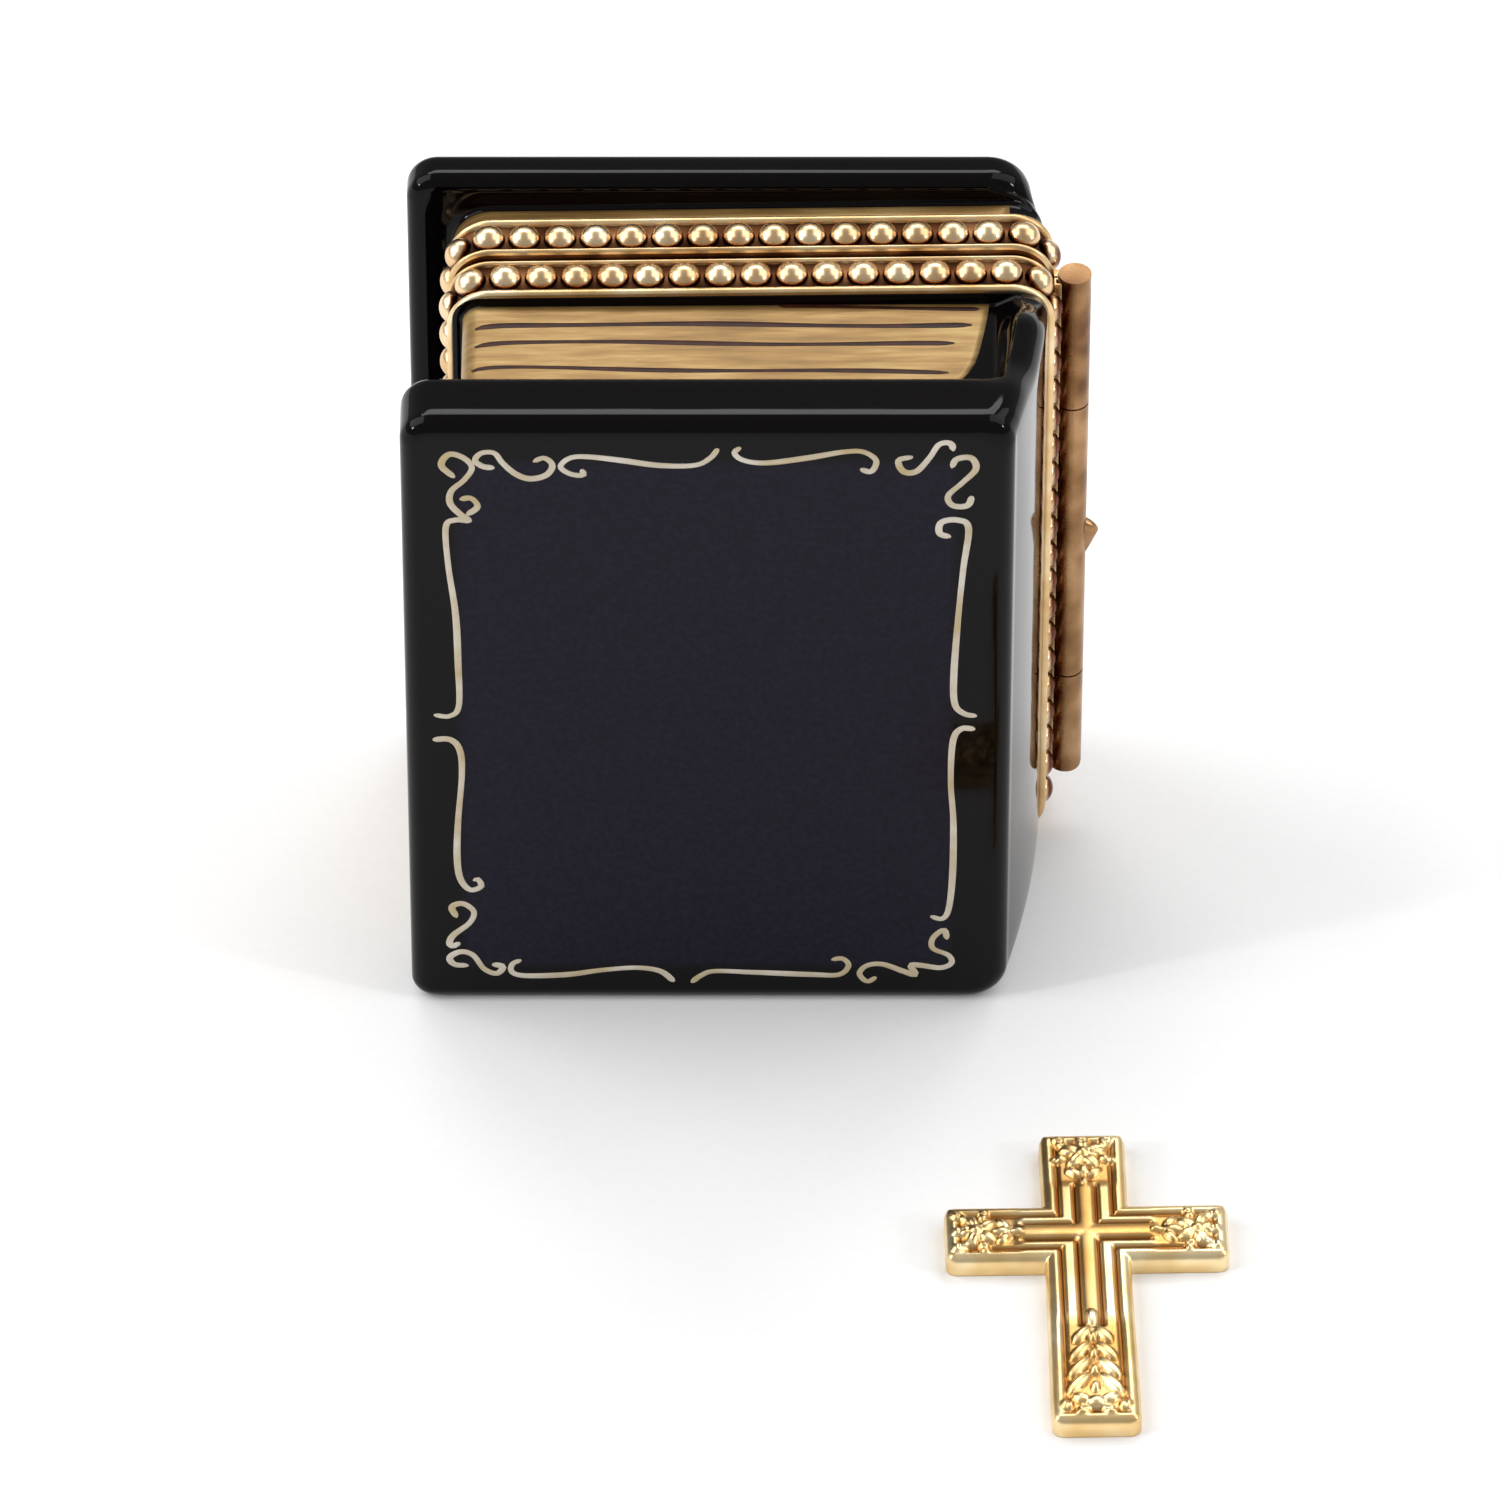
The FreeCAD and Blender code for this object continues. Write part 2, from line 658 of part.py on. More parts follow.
def make_cross():
    """A cast cross that lies flat; it is kept inside the book. Its middle is where the bars cross."""
    body = new_body("cross")
    head = "sizes.cross_head + sizes.cross_arm_bar / 2"
    foot = f"{head} - sizes.cross_length"
    bar(body, "cross_upright", "sizes.cross_bar / 2", foot, head, "sizes.cross_thickness", "0")
    bar(body, "cross_arms", "sizes.cross_width / 2", "-sizes.cross_arm_bar / 2",
        "sizes.cross_arm_bar / 2", "sizes.cross_thickness", "0")
    top = size("cross_thickness")
    doc.recompute()
    round_edges(body, "cross_edge_round", "sizes.cross_bevel", lambda box: lies_on(box, "z", top))
    bar(body, "cross_rib_upright", "sizes.rib_width / 2", f"{foot} + 6.5", f"{head} - 4.5",
        "sizes.rib_height + 0.2", "sizes.cross_thickness - 0.2")
    bar(body, "cross_rib_arms", "sizes.cross_width / 2 - 5", "-sizes.rib_width / 2",
        "sizes.rib_width / 2", "sizes.rib_height + 0.2", "sizes.cross_thickness - 0.2")
    body.Placement = Placement(
        Vector(size("cross_x"), -size("cross_y"), 0),
        Rotation(Vector(0, 0, 1), size("cross_turn")),
    )
    return body


# ---------------------------------------------------------------- whole model


def make_all():
    bead_offset = "sizes.mating_lip + (sizes.bezel_width - sizes.mating_lip - sizes.outer_lip) / 2"
    head_middle = (size("rim_spine") - size("rim_fore")) / 2
    lower = "sizes.lower_joint"
    upper = "sizes.upper_joint"
    gap = "sizes.knuckle_gap / 2"
    return [
        make_front_shell(),
        make_front_bezel(),
        make_beading("front_beading", value(f"{FRONT_MATE} - ({bead_offset})"), 3.14 - head_middle),
        make_inner_collar(),
        make_bearer("front_hinge_bearer", -1),
        make_knuckle("upper_hinge_knuckle", -1, f"{upper} + {gap}", "sizes.hinge_high"),
        make_knuckle("lower_hinge_knuckle", -1, "sizes.hinge_low", f"{lower} - {gap}"),
        make_hinge_pin(),
        make_clasp_stud(),
        make_back_shell(),
        make_back_bezel(),
        make_beading("back_beading", value(f"{BACK_MATE} + {bead_offset}"), 4.31 - head_middle),
        make_bearer("back_hinge_bearer", 1),
        make_knuckle("middle_hinge_knuckle", 1, f"{lower} + {gap}", f"{upper} - {gap}"),
        make_stop_lug(),
        make_clasp_tongue(),
        make_cross(),
    ]


def check(pieces):
    """Stop on a failed object or a shape that is missing or not valid."""
    for item in doc.Objects:
        if "Invalid" in item.State or "Error" in item.State:
            raise RuntimeError(f"{item.Name} failed: {item.State}")
    for piece in pieces:
        if piece.Shape.isNull() or not piece.Shape.isValid():
            raise RuntimeError(f"{piece.Label} has no valid shape")


def write(pieces):
    os.makedirs("parts", exist_ok=True)
    for piece in pieces:
        piece.Shape.exportStep(f"parts/{piece.Label}.step")


pieces = make_all()
doc.recompute()
check(pieces)
write(pieces)
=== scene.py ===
"""Builds the looks of a small hinged porcelain box made as a prayer book, with a loose gilt cross.

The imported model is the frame: +X is the spine, +Y the back cover, +Z the head, and the book stands on z = 0.
Shapes are worked out in millimetres and become metres when their mesh is made.
"""

import contextlib
import math

import bmesh
import bpy
import numpy as np
from bpy.props import FloatProperty, FloatVectorProperty, IntProperty
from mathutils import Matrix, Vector


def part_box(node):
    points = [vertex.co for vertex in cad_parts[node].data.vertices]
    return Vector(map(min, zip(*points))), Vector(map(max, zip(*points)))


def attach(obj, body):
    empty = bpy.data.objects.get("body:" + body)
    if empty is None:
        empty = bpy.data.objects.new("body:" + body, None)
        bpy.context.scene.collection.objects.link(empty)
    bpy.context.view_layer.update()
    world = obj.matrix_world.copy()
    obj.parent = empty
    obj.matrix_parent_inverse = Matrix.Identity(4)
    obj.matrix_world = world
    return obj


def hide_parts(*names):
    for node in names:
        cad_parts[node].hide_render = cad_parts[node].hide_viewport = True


bl_info = {
    "name": "Porcelain Prayer Book",
    "version": (1, 0, 0),
    "blender": (4, 5, 0),
    "location": "View3D > Sidebar > Prayer Book",
    "description": "Glazed shells, gilt mounts, painted border and cast cross of a small porcelain box",
    "category": "Add Mesh",
}

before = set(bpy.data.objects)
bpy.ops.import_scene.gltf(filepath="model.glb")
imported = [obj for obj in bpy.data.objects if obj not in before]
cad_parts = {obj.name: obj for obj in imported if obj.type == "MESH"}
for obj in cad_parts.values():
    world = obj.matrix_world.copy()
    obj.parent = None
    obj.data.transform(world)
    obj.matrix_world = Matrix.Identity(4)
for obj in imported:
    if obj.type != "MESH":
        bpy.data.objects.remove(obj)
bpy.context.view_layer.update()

MM = 0.001
FRONT, BACK, CROSS = "front_half", "back_half", "cross"


def box_mm(node):
    """The lowest and highest corners of a CAD node, in millimetres."""
    low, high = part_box(node)
    return np.array(low) / MM, np.array(high) / MM


FRONT_LOW, FRONT_HIGH = box_mm("front_shell")
BACK_LOW, BACK_HIGH = box_mm("back_shell")
FRONT_BEZEL = box_mm("front_bezel")
BACK_BEZEL = box_mm("back_bezel")
BARREL = box_mm("middle_hinge_knuckle")

# What the frame's boxes don't give: the section of the mounts and the set-backs of the porcelain.
LIP = 0.35
BAND = 0.5
MATING_LIP = 0.4
OUTER_LIP = 0.6
FLANGE = 0.5
RIM_SEAT = BAND + 0.02
WALL = 2.9
COLLAR = 0.45
CAVITY_CORNER = 1.6
RIM_CORNER = 2.4
PAGE_RECESS = 0.7
FRONT_BOARD = 4.9
BACK_BOARD = 3.1
BACK_BOARD_SPINE = 20.6
COVER_FLOOR = 3.0
SPINE_HEAD = 48.1
HEAD_RISE = 0.015
PAGE_RISE = 0.008
LID_LIFT = 0.45

RIM = {
    "left": FRONT_BEZEL[0][0] + LIP,
    "right": FRONT_BEZEL[1][0] - LIP,
    "low": FRONT_BEZEL[0][2] + LIP,
    "high": FRONT_BEZEL[1][2] - LIP,
}
FRONT_SEAM = FRONT_BEZEL[0][1]
FRONT_MATE = FRONT_BEZEL[1][1]
BACK_MATE = BACK_BEZEL[0][1]
BACK_SEAM = BACK_BEZEL[1][1]
PARTING = (FRONT_MATE + BACK_MATE) / 2
HEAD = FRONT_HIGH[2]
HALF_WIDTH = -FRONT_LOW[0]
MIDDLE = (RIM["left"] + RIM["right"]) / 2
FRONT_FACE = FRONT_LOW[1]
BACK_FACE = BACK_HIGH[1]


# ---------------------------------------------------------------- settings


class PorcelainSettings(bpy.types.PropertyGroup):
    black: FloatVectorProperty(
        name="Black glaze", description="Base colour of the black glaze",
        subtype="COLOR", default=(0.0014, 0.0009, 0.0011),
    )
    panel: FloatVectorProperty(
        name="Cover panel", description="Blue-black inside the painted border",
        subtype="COLOR", default=(0.0046, 0.0032, 0.0102),
    )
    front_round: FloatProperty(
        name="Front edge", description="Rounding of the covers' outer edges",
        default=1.1 * MM, unit="LENGTH",
    )
    rear_round: FloatProperty(
        name="Inner edge", description="Rounding of the covers' inner edges",
        default=0.9 * MM, unit="LENGTH",
    )


class PaintSettings(bpy.types.PropertyGroup):
    line: FloatProperty(
        name="Border line", description="Width of the brush that paints the border",
        default=0.41 * MM, unit="LENGTH",
    )
    rise: FloatProperty(
        name="Paint height", description="How far raised gold stands off the glaze",
        default=0.05 * MM, unit="LENGTH",
    )
    page_line: FloatProperty(
        name="Page line", description="Width of a painted page line",
        default=0.3 * MM, unit="LENGTH",
    )


class MountSettings(bpy.types.PropertyGroup):
    bead_radius: FloatProperty(
        name="Bead radius", description="Radius of a bead at its foot",
        default=1.06 * MM, unit="LENGTH",
    )
    bead_height: FloatProperty(
        name="Bead height", description="How far a bead stands off the band",
        default=0.88 * MM, unit="LENGTH",
    )
    bead_pitch: FloatProperty(
        name="Bead pitch", description="Distance from bead to bead along the rim",
        default=2.26 * MM, unit="LENGTH",
    )


class CrossSettings(bpy.types.PropertyGroup):
    leaf_count: IntProperty(
        name="Leaf pairs", description="Pairs of leaves on the foot of the cross", default=4,
    )
    relief: FloatProperty(
        name="Relief", description="Height of the cast leaves", default=0.34 * MM, unit="LENGTH",
    )


class StageSettings(bpy.types.PropertyGroup):
    lens: FloatProperty(
        name="Lens", description="Focal length, in millimetres on a 36 mm sensor", default=320.5,
    )
    distance: FloatProperty(
        name="Distance", description="From the aim point to the camera",
        default=870.5 * MM, unit="LENGTH",
    )
    elevation: FloatProperty(
        name="Elevation", description="Angle of the view above the table",
        default=math.radians(42.0), subtype="ANGLE",
    )
    floor: FloatVectorProperty(
        name="Floor", description="Pale paper sweep", subtype="COLOR", default=(0.90, 0.90, 0.90),
    )


SETTINGS = {
    "prayer_porcelain": PorcelainSettings,
    "prayer_paint": PaintSettings,
    "prayer_mounts": MountSettings,
    "prayer_cross": CrossSettings,
    "prayer_stage": StageSettings,
}


# ---------------------------------------------------------------- materials


def linear(code):
    """An sRGB hex colour as linear RGBA."""
    parts = [int(code[at:at + 2], 16) / 255 for at in (1, 3, 5)]
    return tuple(c / 12.92 if c <= 0.04045 else ((c + 0.055) / 1.055) ** 2.4 for c in parts) + (1.0,)


def add_node(tree, kind, settings=None, links=None):
    """Add a node; settings are attributes or input values, links are input name to output socket."""
    made = tree.nodes.new(kind)
    for key, value in (settings or {}).items():
        if isinstance(key, int) or key in made.inputs:
            made.inputs[key].default_value = value
        else:
            setattr(made, key, value)
    for key, socket in (links or {}).items():
        tree.links.new(socket, made.inputs[key])
    return made


def fed_node(tree, kind, settings, terms):
    """A node whose numbered inputs are given as values or as outputs to link."""
    values = {key: term for key, term in terms.items() if not isinstance(term, bpy.types.NodeSocket)}
    links = {key: term for key, term in terms.items() if isinstance(term, bpy.types.NodeSocket)}
    return add_node(tree, kind, {**settings, **values}, links)


def math_node(tree, operation, *terms):
    """The result of a sum; each term is a number or an output."""
    return fed_node(tree, "ShaderNodeMath", {"operation": operation}, dict(enumerate(terms))).outputs[0]


def blended(tree, blend, share, first, second):
    """Two colours, mixed or multiplied by a share."""
    settings = {"data_type": "RGBA", "blend_type": blend}
    return fed_node(tree, "ShaderNodeMix", settings, {0: share, 6: first, 7: second}).outputs[2]


def spread(tree, value, low, high, start=0.0, end=1.0):
    """A value's range from start to end, stretched to run from low to high."""
    settings = {"From Min": start, "From Max": end, "To Min": low, "To Max": high}
    return add_node(tree, "ShaderNodeMapRange", settings, {"Value": value}).outputs[0]


def noise(tree, place, size_mm, detail):
    """Noise whose features have a size in millimetres."""
    settings = {"Scale": 1.0 / (size_mm * MM), "Detail": detail}
    return add_node(tree, "ShaderNodeTexNoise", settings, {"Vector": place}).outputs["Fac"]


def ramp(tree, factor, stops):
    """A colour ramp with the given stops: a place, and a hex colour or a linear one."""
    made = add_node(tree, "ShaderNodeValToRGB", links={"Fac": factor})
    elements = made.color_ramp.elements
    while len(elements) < len(stops):
        elements.new(0.5)
    for element, (place, colour) in zip(elements, stops):
        element.position = place
        element.color = linear(colour) if isinstance(colour, str) else (*colour, 1.0)
    return made.outputs["Color"]


def new_material(name, **shader):
    """A material with its Principled shader's own sockets set, and its Object coordinates."""
    made = bpy.data.materials.new(name)
    made.use_nodes = True
    tree = made.node_tree
    shader_node = tree.nodes["Principled BSDF"]
    for key, value in shader.items():
        shader_node.inputs[key.replace("_", " ")].default_value = value
    return made, tree, add_node(tree, "ShaderNodeTexCoord").outputs["Object"]


def finish_shader(tree, colour, rough=None, bump=None):
    """Link the results to the shader; bump is a height, its strength and its depth in millimetres."""
    shader = tree.nodes["Principled BSDF"]
    tree.links.new(colour, shader.inputs["Base Color"])
    if rough is not None:
        tree.links.new(rough, shader.inputs["Roughness"])
    if bump is not None:
        height, strength, depth = bump
        settings = {"Strength": strength, "Distance": depth * MM}
        made = add_node(tree, "ShaderNodeBump", settings, {"Height": height})
        tree.links.new(made.outputs["Normal"], shader.inputs["Normal"])


def black_glaze_material():
    """Hard-paste porcelain under a thick black glaze, fired glossy.

    The glaze pools in slow waves a few millimetres long, with specks of dust fired into it.
    The panel inside the painted border is a bluer, duller black.
    """
    colours = bpy.context.scene.prayer_porcelain
    made, tree, place = new_material(
        "glazed_black_porcelain", Roughness=0.06, IOR=1.5, Specular_IOR_Level=0.13)
    split = add_node(tree, "ShaderNodeSeparateXYZ", links={0: place}).outputs
    waves = noise(tree, place, 9, 1.5)
    specks = noise(tree, place, 0.35, 2.0)
    panel_half_width, panel_half_height, soft_edge = 15.2, 21.0, 0.6
    across = math_node(tree, "ABSOLUTE", split["X"])
    above = math_node(tree, "ABSOLUTE", math_node(tree, "SUBTRACT", split["Z"], HEAD / 2 * MM))
    inside = math_node(tree, "LESS_THAN", split["Y"], (FRONT_FACE + 0.4) * MM)
    for distance, half in ((across, panel_half_width), (above, panel_half_height)):
        edge = spread(tree, distance, 1.0, 0.0, half * MM, (half + soft_edge) * MM)
        inside = math_node(tree, "MULTIPLY", inside, edge)
    base = ramp(tree, specks, [(0.35, tuple(colours.black)), (0.75, (0.0022, 0.0013, 0.0018))])
    panel = ramp(tree, specks, [(0.35, tuple(colours.panel)), (0.75, (0.0088, 0.0068, 0.0165))])
    panel_duller_by = 0.16
    rough = math_node(tree, "MULTIPLY_ADD", inside, panel_duller_by, spread(tree, waves, 0.03, 0.07))
    finish_shader(tree, blended(tree, "MIX", inside, base, panel), rough, (waves, 0.25, 0.12))
    return made


def white_glaze_material():
    """Clear glaze over white hard-paste porcelain, as the hollow is left: cool white, soft gloss."""
    made, tree, place = new_material("clear_glazed_white_porcelain", Roughness=0.12, IOR=1.5)
    clouds = noise(tree, place, 6, 3.0)
    finish_shader(tree, ramp(tree, clouds, [(0.3, "#e6e4de"), (0.7, "#f4f3ef")]), bump=(clouds, 0.2, 0.2))
    return made


def page_gold_material():
    """Liquid gold brushed on glaze and fired: metallic, streaked along the brush, paler where thin."""
    made, tree, place = new_material("brushed_fired_gold", Metallic=0.45, Roughness=0.42)
    stretch = add_node(tree, "ShaderNodeMapping", {"Scale": (0.12, 1.0, 0.12)}, {"Vector": place})
    streaks = noise(tree, stretch.outputs[0], 0.55, 4.0)
    washes = noise(tree, place, 7, 1.0)
    both = math_node(tree, "MULTIPLY_ADD", streaks, 0.55, math_node(tree, "MULTIPLY", washes, 0.45))
    colour = ramp(tree, both, [(0.36, "#7a5c33"), (0.5, "#90703f"), (0.64, "#a98c58")])
    finish_shader(tree, colour, spread(tree, streaks, 0.28, 0.46), (streaks, 0.35, 0.06))
    return made


def page_line_material():
    """Sepia enamel drawn with a fine brush over the gold: dark red-brown, satin."""
    made, tree, place = new_material("sepia_enamel_line", Roughness=0.4, Specular_IOR_Level=0.2)
    finish_shader(tree, ramp(tree, noise(tree, place, 1.2, 2.0), [(0.35, "#210a05"), (0.75, "#3c1709")]))
    return made


def border_paint_material():
    """Matt ivory-gold enamel laid on with a liner brush: thicker and yellower in random patches."""
    made, tree, place = new_material("ivory_gold_enamel", Roughness=0.42, Metallic=0.25)
    load = noise(tree, place, 2.4, 2.0)
    colour = ramp(tree, load, [(0.3, "#b8a57c"), (0.5, "#c4b8a2"), (0.7, "#d2cabd")])
    finish_shader(tree, colour, bump=(load, 0.4, 0.03))
    return made


def gilt_material(name, shades, roughness, wear, shade_and_wear_by=None, shade_and_wear_stops=(), hinge_side_shade=False):
    """Brass stamped or cast, then gilt and polished; polish marks are finer than a tenth of a millimetre.

    The named attribute darkens the colour through the given stops: painted shade at each bead's foot,
    tarnish where the cloth doesn't reach on the cross. The hinge flag paints shade on what stands out past the
    spine, under the hinge.
    """
    made, tree, place = new_material(name, Metallic=1.0, Roughness=roughness)
    tone = noise(tree, place, 3.5, 2.0)
    marks = noise(tree, place, 0.25, 3.0)
    colour = ramp(tree, tone, list(zip((0.32, 0.5, 0.68), shades)))
    if hinge_side_shade:
        # Painted shade: beads standing out past the spine, beside the hinge, are darkened towards red-brown.
        across = add_node(tree, "ShaderNodeSeparateXYZ", links={0: place}).outputs["X"]
        reach = spread(tree, across, 0.0, 1.0, 22.02 * MM, 22.25 * MM)
        colour = blended(tree, "MULTIPLY", reach, colour, linear("#6e3a28"))
    if shade_and_wear_by:
        # Painted shade low on each bead, and tarnish in the cross's grooves, through the given colour stops.
        share = add_node(tree, "ShaderNodeAttribute", {"attribute_name": shade_and_wear_by}).outputs["Fac"]
        colour = blended(tree, "MULTIPLY", 1.0, colour, ramp(tree, share, shade_and_wear_stops))
    finish_shader(tree, colour, spread(tree, marks, roughness * 0.8, roughness + wear), (marks, 0.10, 0.01))
    return made


def paper_material():
    """Seamless white studio paper: matt, with a faint tooth."""
    tone = bpy.context.scene.prayer_stage.floor
    made, tree, place = new_material("white_studio_paper", Roughness=0.9)
    hollow = tuple(c * 0.985 for c in tone)
    finish_shader(tree, ramp(tree, noise(tree, place, 0.6, 2.0), [(0.3, hollow), (0.7, tuple(tone))]))
    return made


MAKERS = {
    "glazed_black_porcelain": black_glaze_material,
    "clear_glazed_white_porcelain": white_glaze_material,
    "brushed_fired_gold": page_gold_material,
    "sepia_enamel_line": page_line_material,
    "ivory_gold_enamel": border_paint_material,
    "white_studio_paper": paper_material,
}

# The shades, roughness and wear of each gilt finish, and where it is darkened: painted shade on the mounts,
# tarnish on the cross.
GILT = {
    "polished_gilt_brass": (("#cca672", "#e0be8c", "#f0d8ae"), 0.32, 0.12),
    # Painted shade: a dark finish for the channel between the lips and for the mating face at the parting.
    "channel_painted_shade": (("#3a1e12", "#5c3820", "#8a6040"), 0.42, 0.15),
    # The beads' stops paint shade low on each bead, and True paints shade on the beads beside the hinge.
    "gilt_beads": (("#d2aa7a", "#e2c094", "#f0d8b2"), 0.26, 0.08, "rise",
                   [(0.14, "#1e0a06"), (0.27, "#7a4a2c"), (0.42, "#ffffff")], True),
    "gilt_hinge_tube": (("#6c4a32", "#94704c", "#b28c66"), 0.26, 0.12),
    "cast_gilt_cross": (("#e4bf80", "#efd096", "#fae6ba"), 0.31, 0.08, "polish",
                        [(0.03, "#3a2010"), (0.28, "#a07850"), (0.5, "#e2ccac"), (0.72, "#ffffff")]),
}


def material(name):
    """Make each finish once, the first time that it is asked for."""
    made = bpy.data.materials.get(name)
    if made is None:
        made = gilt_material(name, *GILT[name]) if name in GILT else MAKERS[name]()
    return made


# ---------------------------------------------------------------- mesh helpers


def new_piece(name, verts_mm, faces, materials, face_slots=None):
    """A smooth mesh object at the origin from millimetre points."""
    mesh = bpy.data.meshes.new(name)
    mesh.from_pydata([tuple(float(c) * MM for c in v) for v in verts_mm], [], faces)
    for finish in materials:
        mesh.materials.append(material(finish))
    if face_slots is not None:
        mesh.polygons.foreach_set("material_index", face_slots)
    mesh.polygons.foreach_set("use_smooth", [True] * len(mesh.polygons))
    mesh.validate()
    mesh.update()
    piece = bpy.data.objects.new(name, mesh)
    bpy.context.scene.collection.objects.link(piece)
    return piece


def finish_piece(piece, body, slot, *nodes):
    """Say which body the piece rides on and which CAD nodes it stands for; slot is not used."""
    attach(piece, body)
    if nodes:
        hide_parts(*nodes)


def corner_arc(cx, cz, radius, start, steps):
    """Points of a quarter turn, clockwise seen from the front, without its last point."""
    angles = np.radians(start - 90.0 * np.arange(steps) / steps)
    return np.column_stack([cx + radius * np.cos(angles), cz + radius * np.sin(angles)])


SIDE_STEPS = 36
CORNER_STEPS = 14
HEAD_HALF = 40

# Where the covers' overhang starts to run out: at the spine on the head, at the fore-edge on the foot.
HEAD_STEP, FOOT_STEP = 20.2, -9.0


def outline(left, right, low, high, tr, br, bl, tl):
    """A rounded rectangle's points, from the middle of the head, clockwise seen from the front."""
    middle = (left + right) / 2
    near_spine = 1 - (1 - np.arange(HEAD_HALF) / HEAD_HALF) ** 1.6
    x_right = middle + (right - tr - middle) * near_spine
    even = np.arange(SIDE_STEPS) / SIDE_STEPS
    half = np.arange(HEAD_HALF) / HEAD_HALF
    parts = [
        np.column_stack([x_right, np.full(HEAD_HALF, high)]),
        corner_arc(right - tr, high - tr, tr, 90, CORNER_STEPS),
        np.column_stack([np.full(SIDE_STEPS, right), high - tr + (low + br - high + tr) * even]),
        corner_arc(right - br, low + br, br, 0, CORNER_STEPS),
        np.column_stack([right - br + (left + bl - right + br) * even, np.full(SIDE_STEPS, low)]),
        corner_arc(left + bl, low + bl, bl, -90, CORNER_STEPS),
        np.column_stack([np.full(SIDE_STEPS, left), low + bl + (high - tl - low - bl) * even]),
        corner_arc(left + tl, high - tl, tl, 180, CORNER_STEPS),
        np.column_stack([left + tl + (middle - left - tl) * half, np.full(HEAD_HALF, high)]),
    ]
    return np.vstack(parts)


RING = 2 * HEAD_HALF + 4 * CORNER_STEPS + 3 * SIDE_STEPS


def smooth_step(value):
    """0 below zero, 1 above one, and an even swell between."""
    value = np.clip(value, 0, 1)
    return value * value * (3 - 2 * value)


def risen(points, rise, lift=0.0):
    """Plane points with the head edge raised: evenly by lift, and by rise for each mm towards the spine."""
    from_height, over = 24.0, 20.0
    share = smooth_step((points[:, 1] - from_height) / over)
    return np.column_stack([points[:, 0], points[:, 1] + share * (lift + rise * (points[:, 0] - MIDDLE))])


def rim_outline(proud, corner=None, lift=0.0):
    """The rim's outline moved outwards by proud."""
    radius = corner if corner is not None else RIM_CORNER + proud
    plain = outline(RIM["left"] - proud, RIM["right"] + proud, RIM["low"] - proud, RIM["high"] + proud,
                    radius, radius, radius, radius)
    return risen(plain, HEAD_RISE, lift)


def at_depth(points, depth):
    """Outline points placed at a depth; depth is a number or one number a point."""
    return np.column_stack([points[:, 0], np.broadcast_to(depth, len(points)), points[:, 1]])


def loft(rings, close_ends=True):
    """Quads between rings of points, with a flat cap on the first and last ring."""
    count = len(rings[0])
    faces = []
    for row in range(len(rings) - 1):
        for column in range(count):
            after = (column + 1) % count
            a, b = row * count, (row + 1) * count
            faces.append((a + column, a + after, b + after, b + column))
    if close_ends:
        faces.append(tuple(reversed(range(count))))
        last = (len(rings) - 1) * count
        faces.append(tuple(range(last, last + count)))
    return np.vstack(rings), faces


@contextlib.contextmanager
def edited(piece):
    """A piece's mesh, opened for editing and then written back."""
    edit = bmesh.new()
    edit.from_mesh(piece.data)
    yield edit
    edit.to_mesh(piece.data)
    edit.free()
    piece.data.update()


def face_outwards(piece):
    """Turn the whole closed mesh so that its volume is positive."""
    with edited(piece) as edit:
        if edit.calc_volume(signed=True) < 0:
            bmesh.ops.reverse_faces(edit, faces=edit.faces)


# ---------------------------------------------------------------- porcelain shells


def spine_bulge(y):
    """How far the rounded spine reaches in +X at a depth, in front of the parting."""
    ahead = PARTING - y
    at_parting, slope, curve = 21.70, 0.0035, 0.0074
    return at_parting - slope * ahead - curve * ahead ** 2


def spine_head(y):
    """Height of the spine's head: level along the book, up at the board, down at the mount."""
    board_slope, mount_slope = 4.2, 4.4
    to_board = 1 - smooth_step((y - (FRONT_FACE + 3.2)) / board_slope)
    to_mount = smooth_step((y - (FRONT_SEAM - 4.6)) / mount_slope)
    level = SPINE_HEAD + (HEAD - SPINE_HEAD) * to_board
    return level + (RIM["high"] + 0.25 - level) * to_mount


def stepped_share(points):
    """1 where the board stands proud of the pages (head and fore-edge), 0 along the spine and foot."""
    share = np.ones(RING)
    spine_from = HEAD_HALF
    spine_to = HEAD_HALF + 2 * CORNER_STEPS + SIDE_STEPS
    share[spine_from:spine_to] = 0
    head = slice(0, HEAD_HALF)
    share[head] = smooth_step((HEAD_STEP - points[head, 0]) / 2.2)
    foot = slice(spine_to, spine_to + SIDE_STEPS)
    share[foot] = smooth_step((FOOT_STEP - points[foot, 0]) / 4.0)
    return share


def mixed_ring(share, stepped, stepped_y, flush, flush_y):
    """One ring between the stepped and the flush outlines, each at its own depth."""
    points = stepped * share[:, None] + flush * (1 - share[:, None])
    return at_depth(points, stepped_y * share + flush_y * (1 - share))


def quarter(steps):
    """Angles of a quarter turn."""
    return np.radians(np.linspace(0, 90, steps + 1))


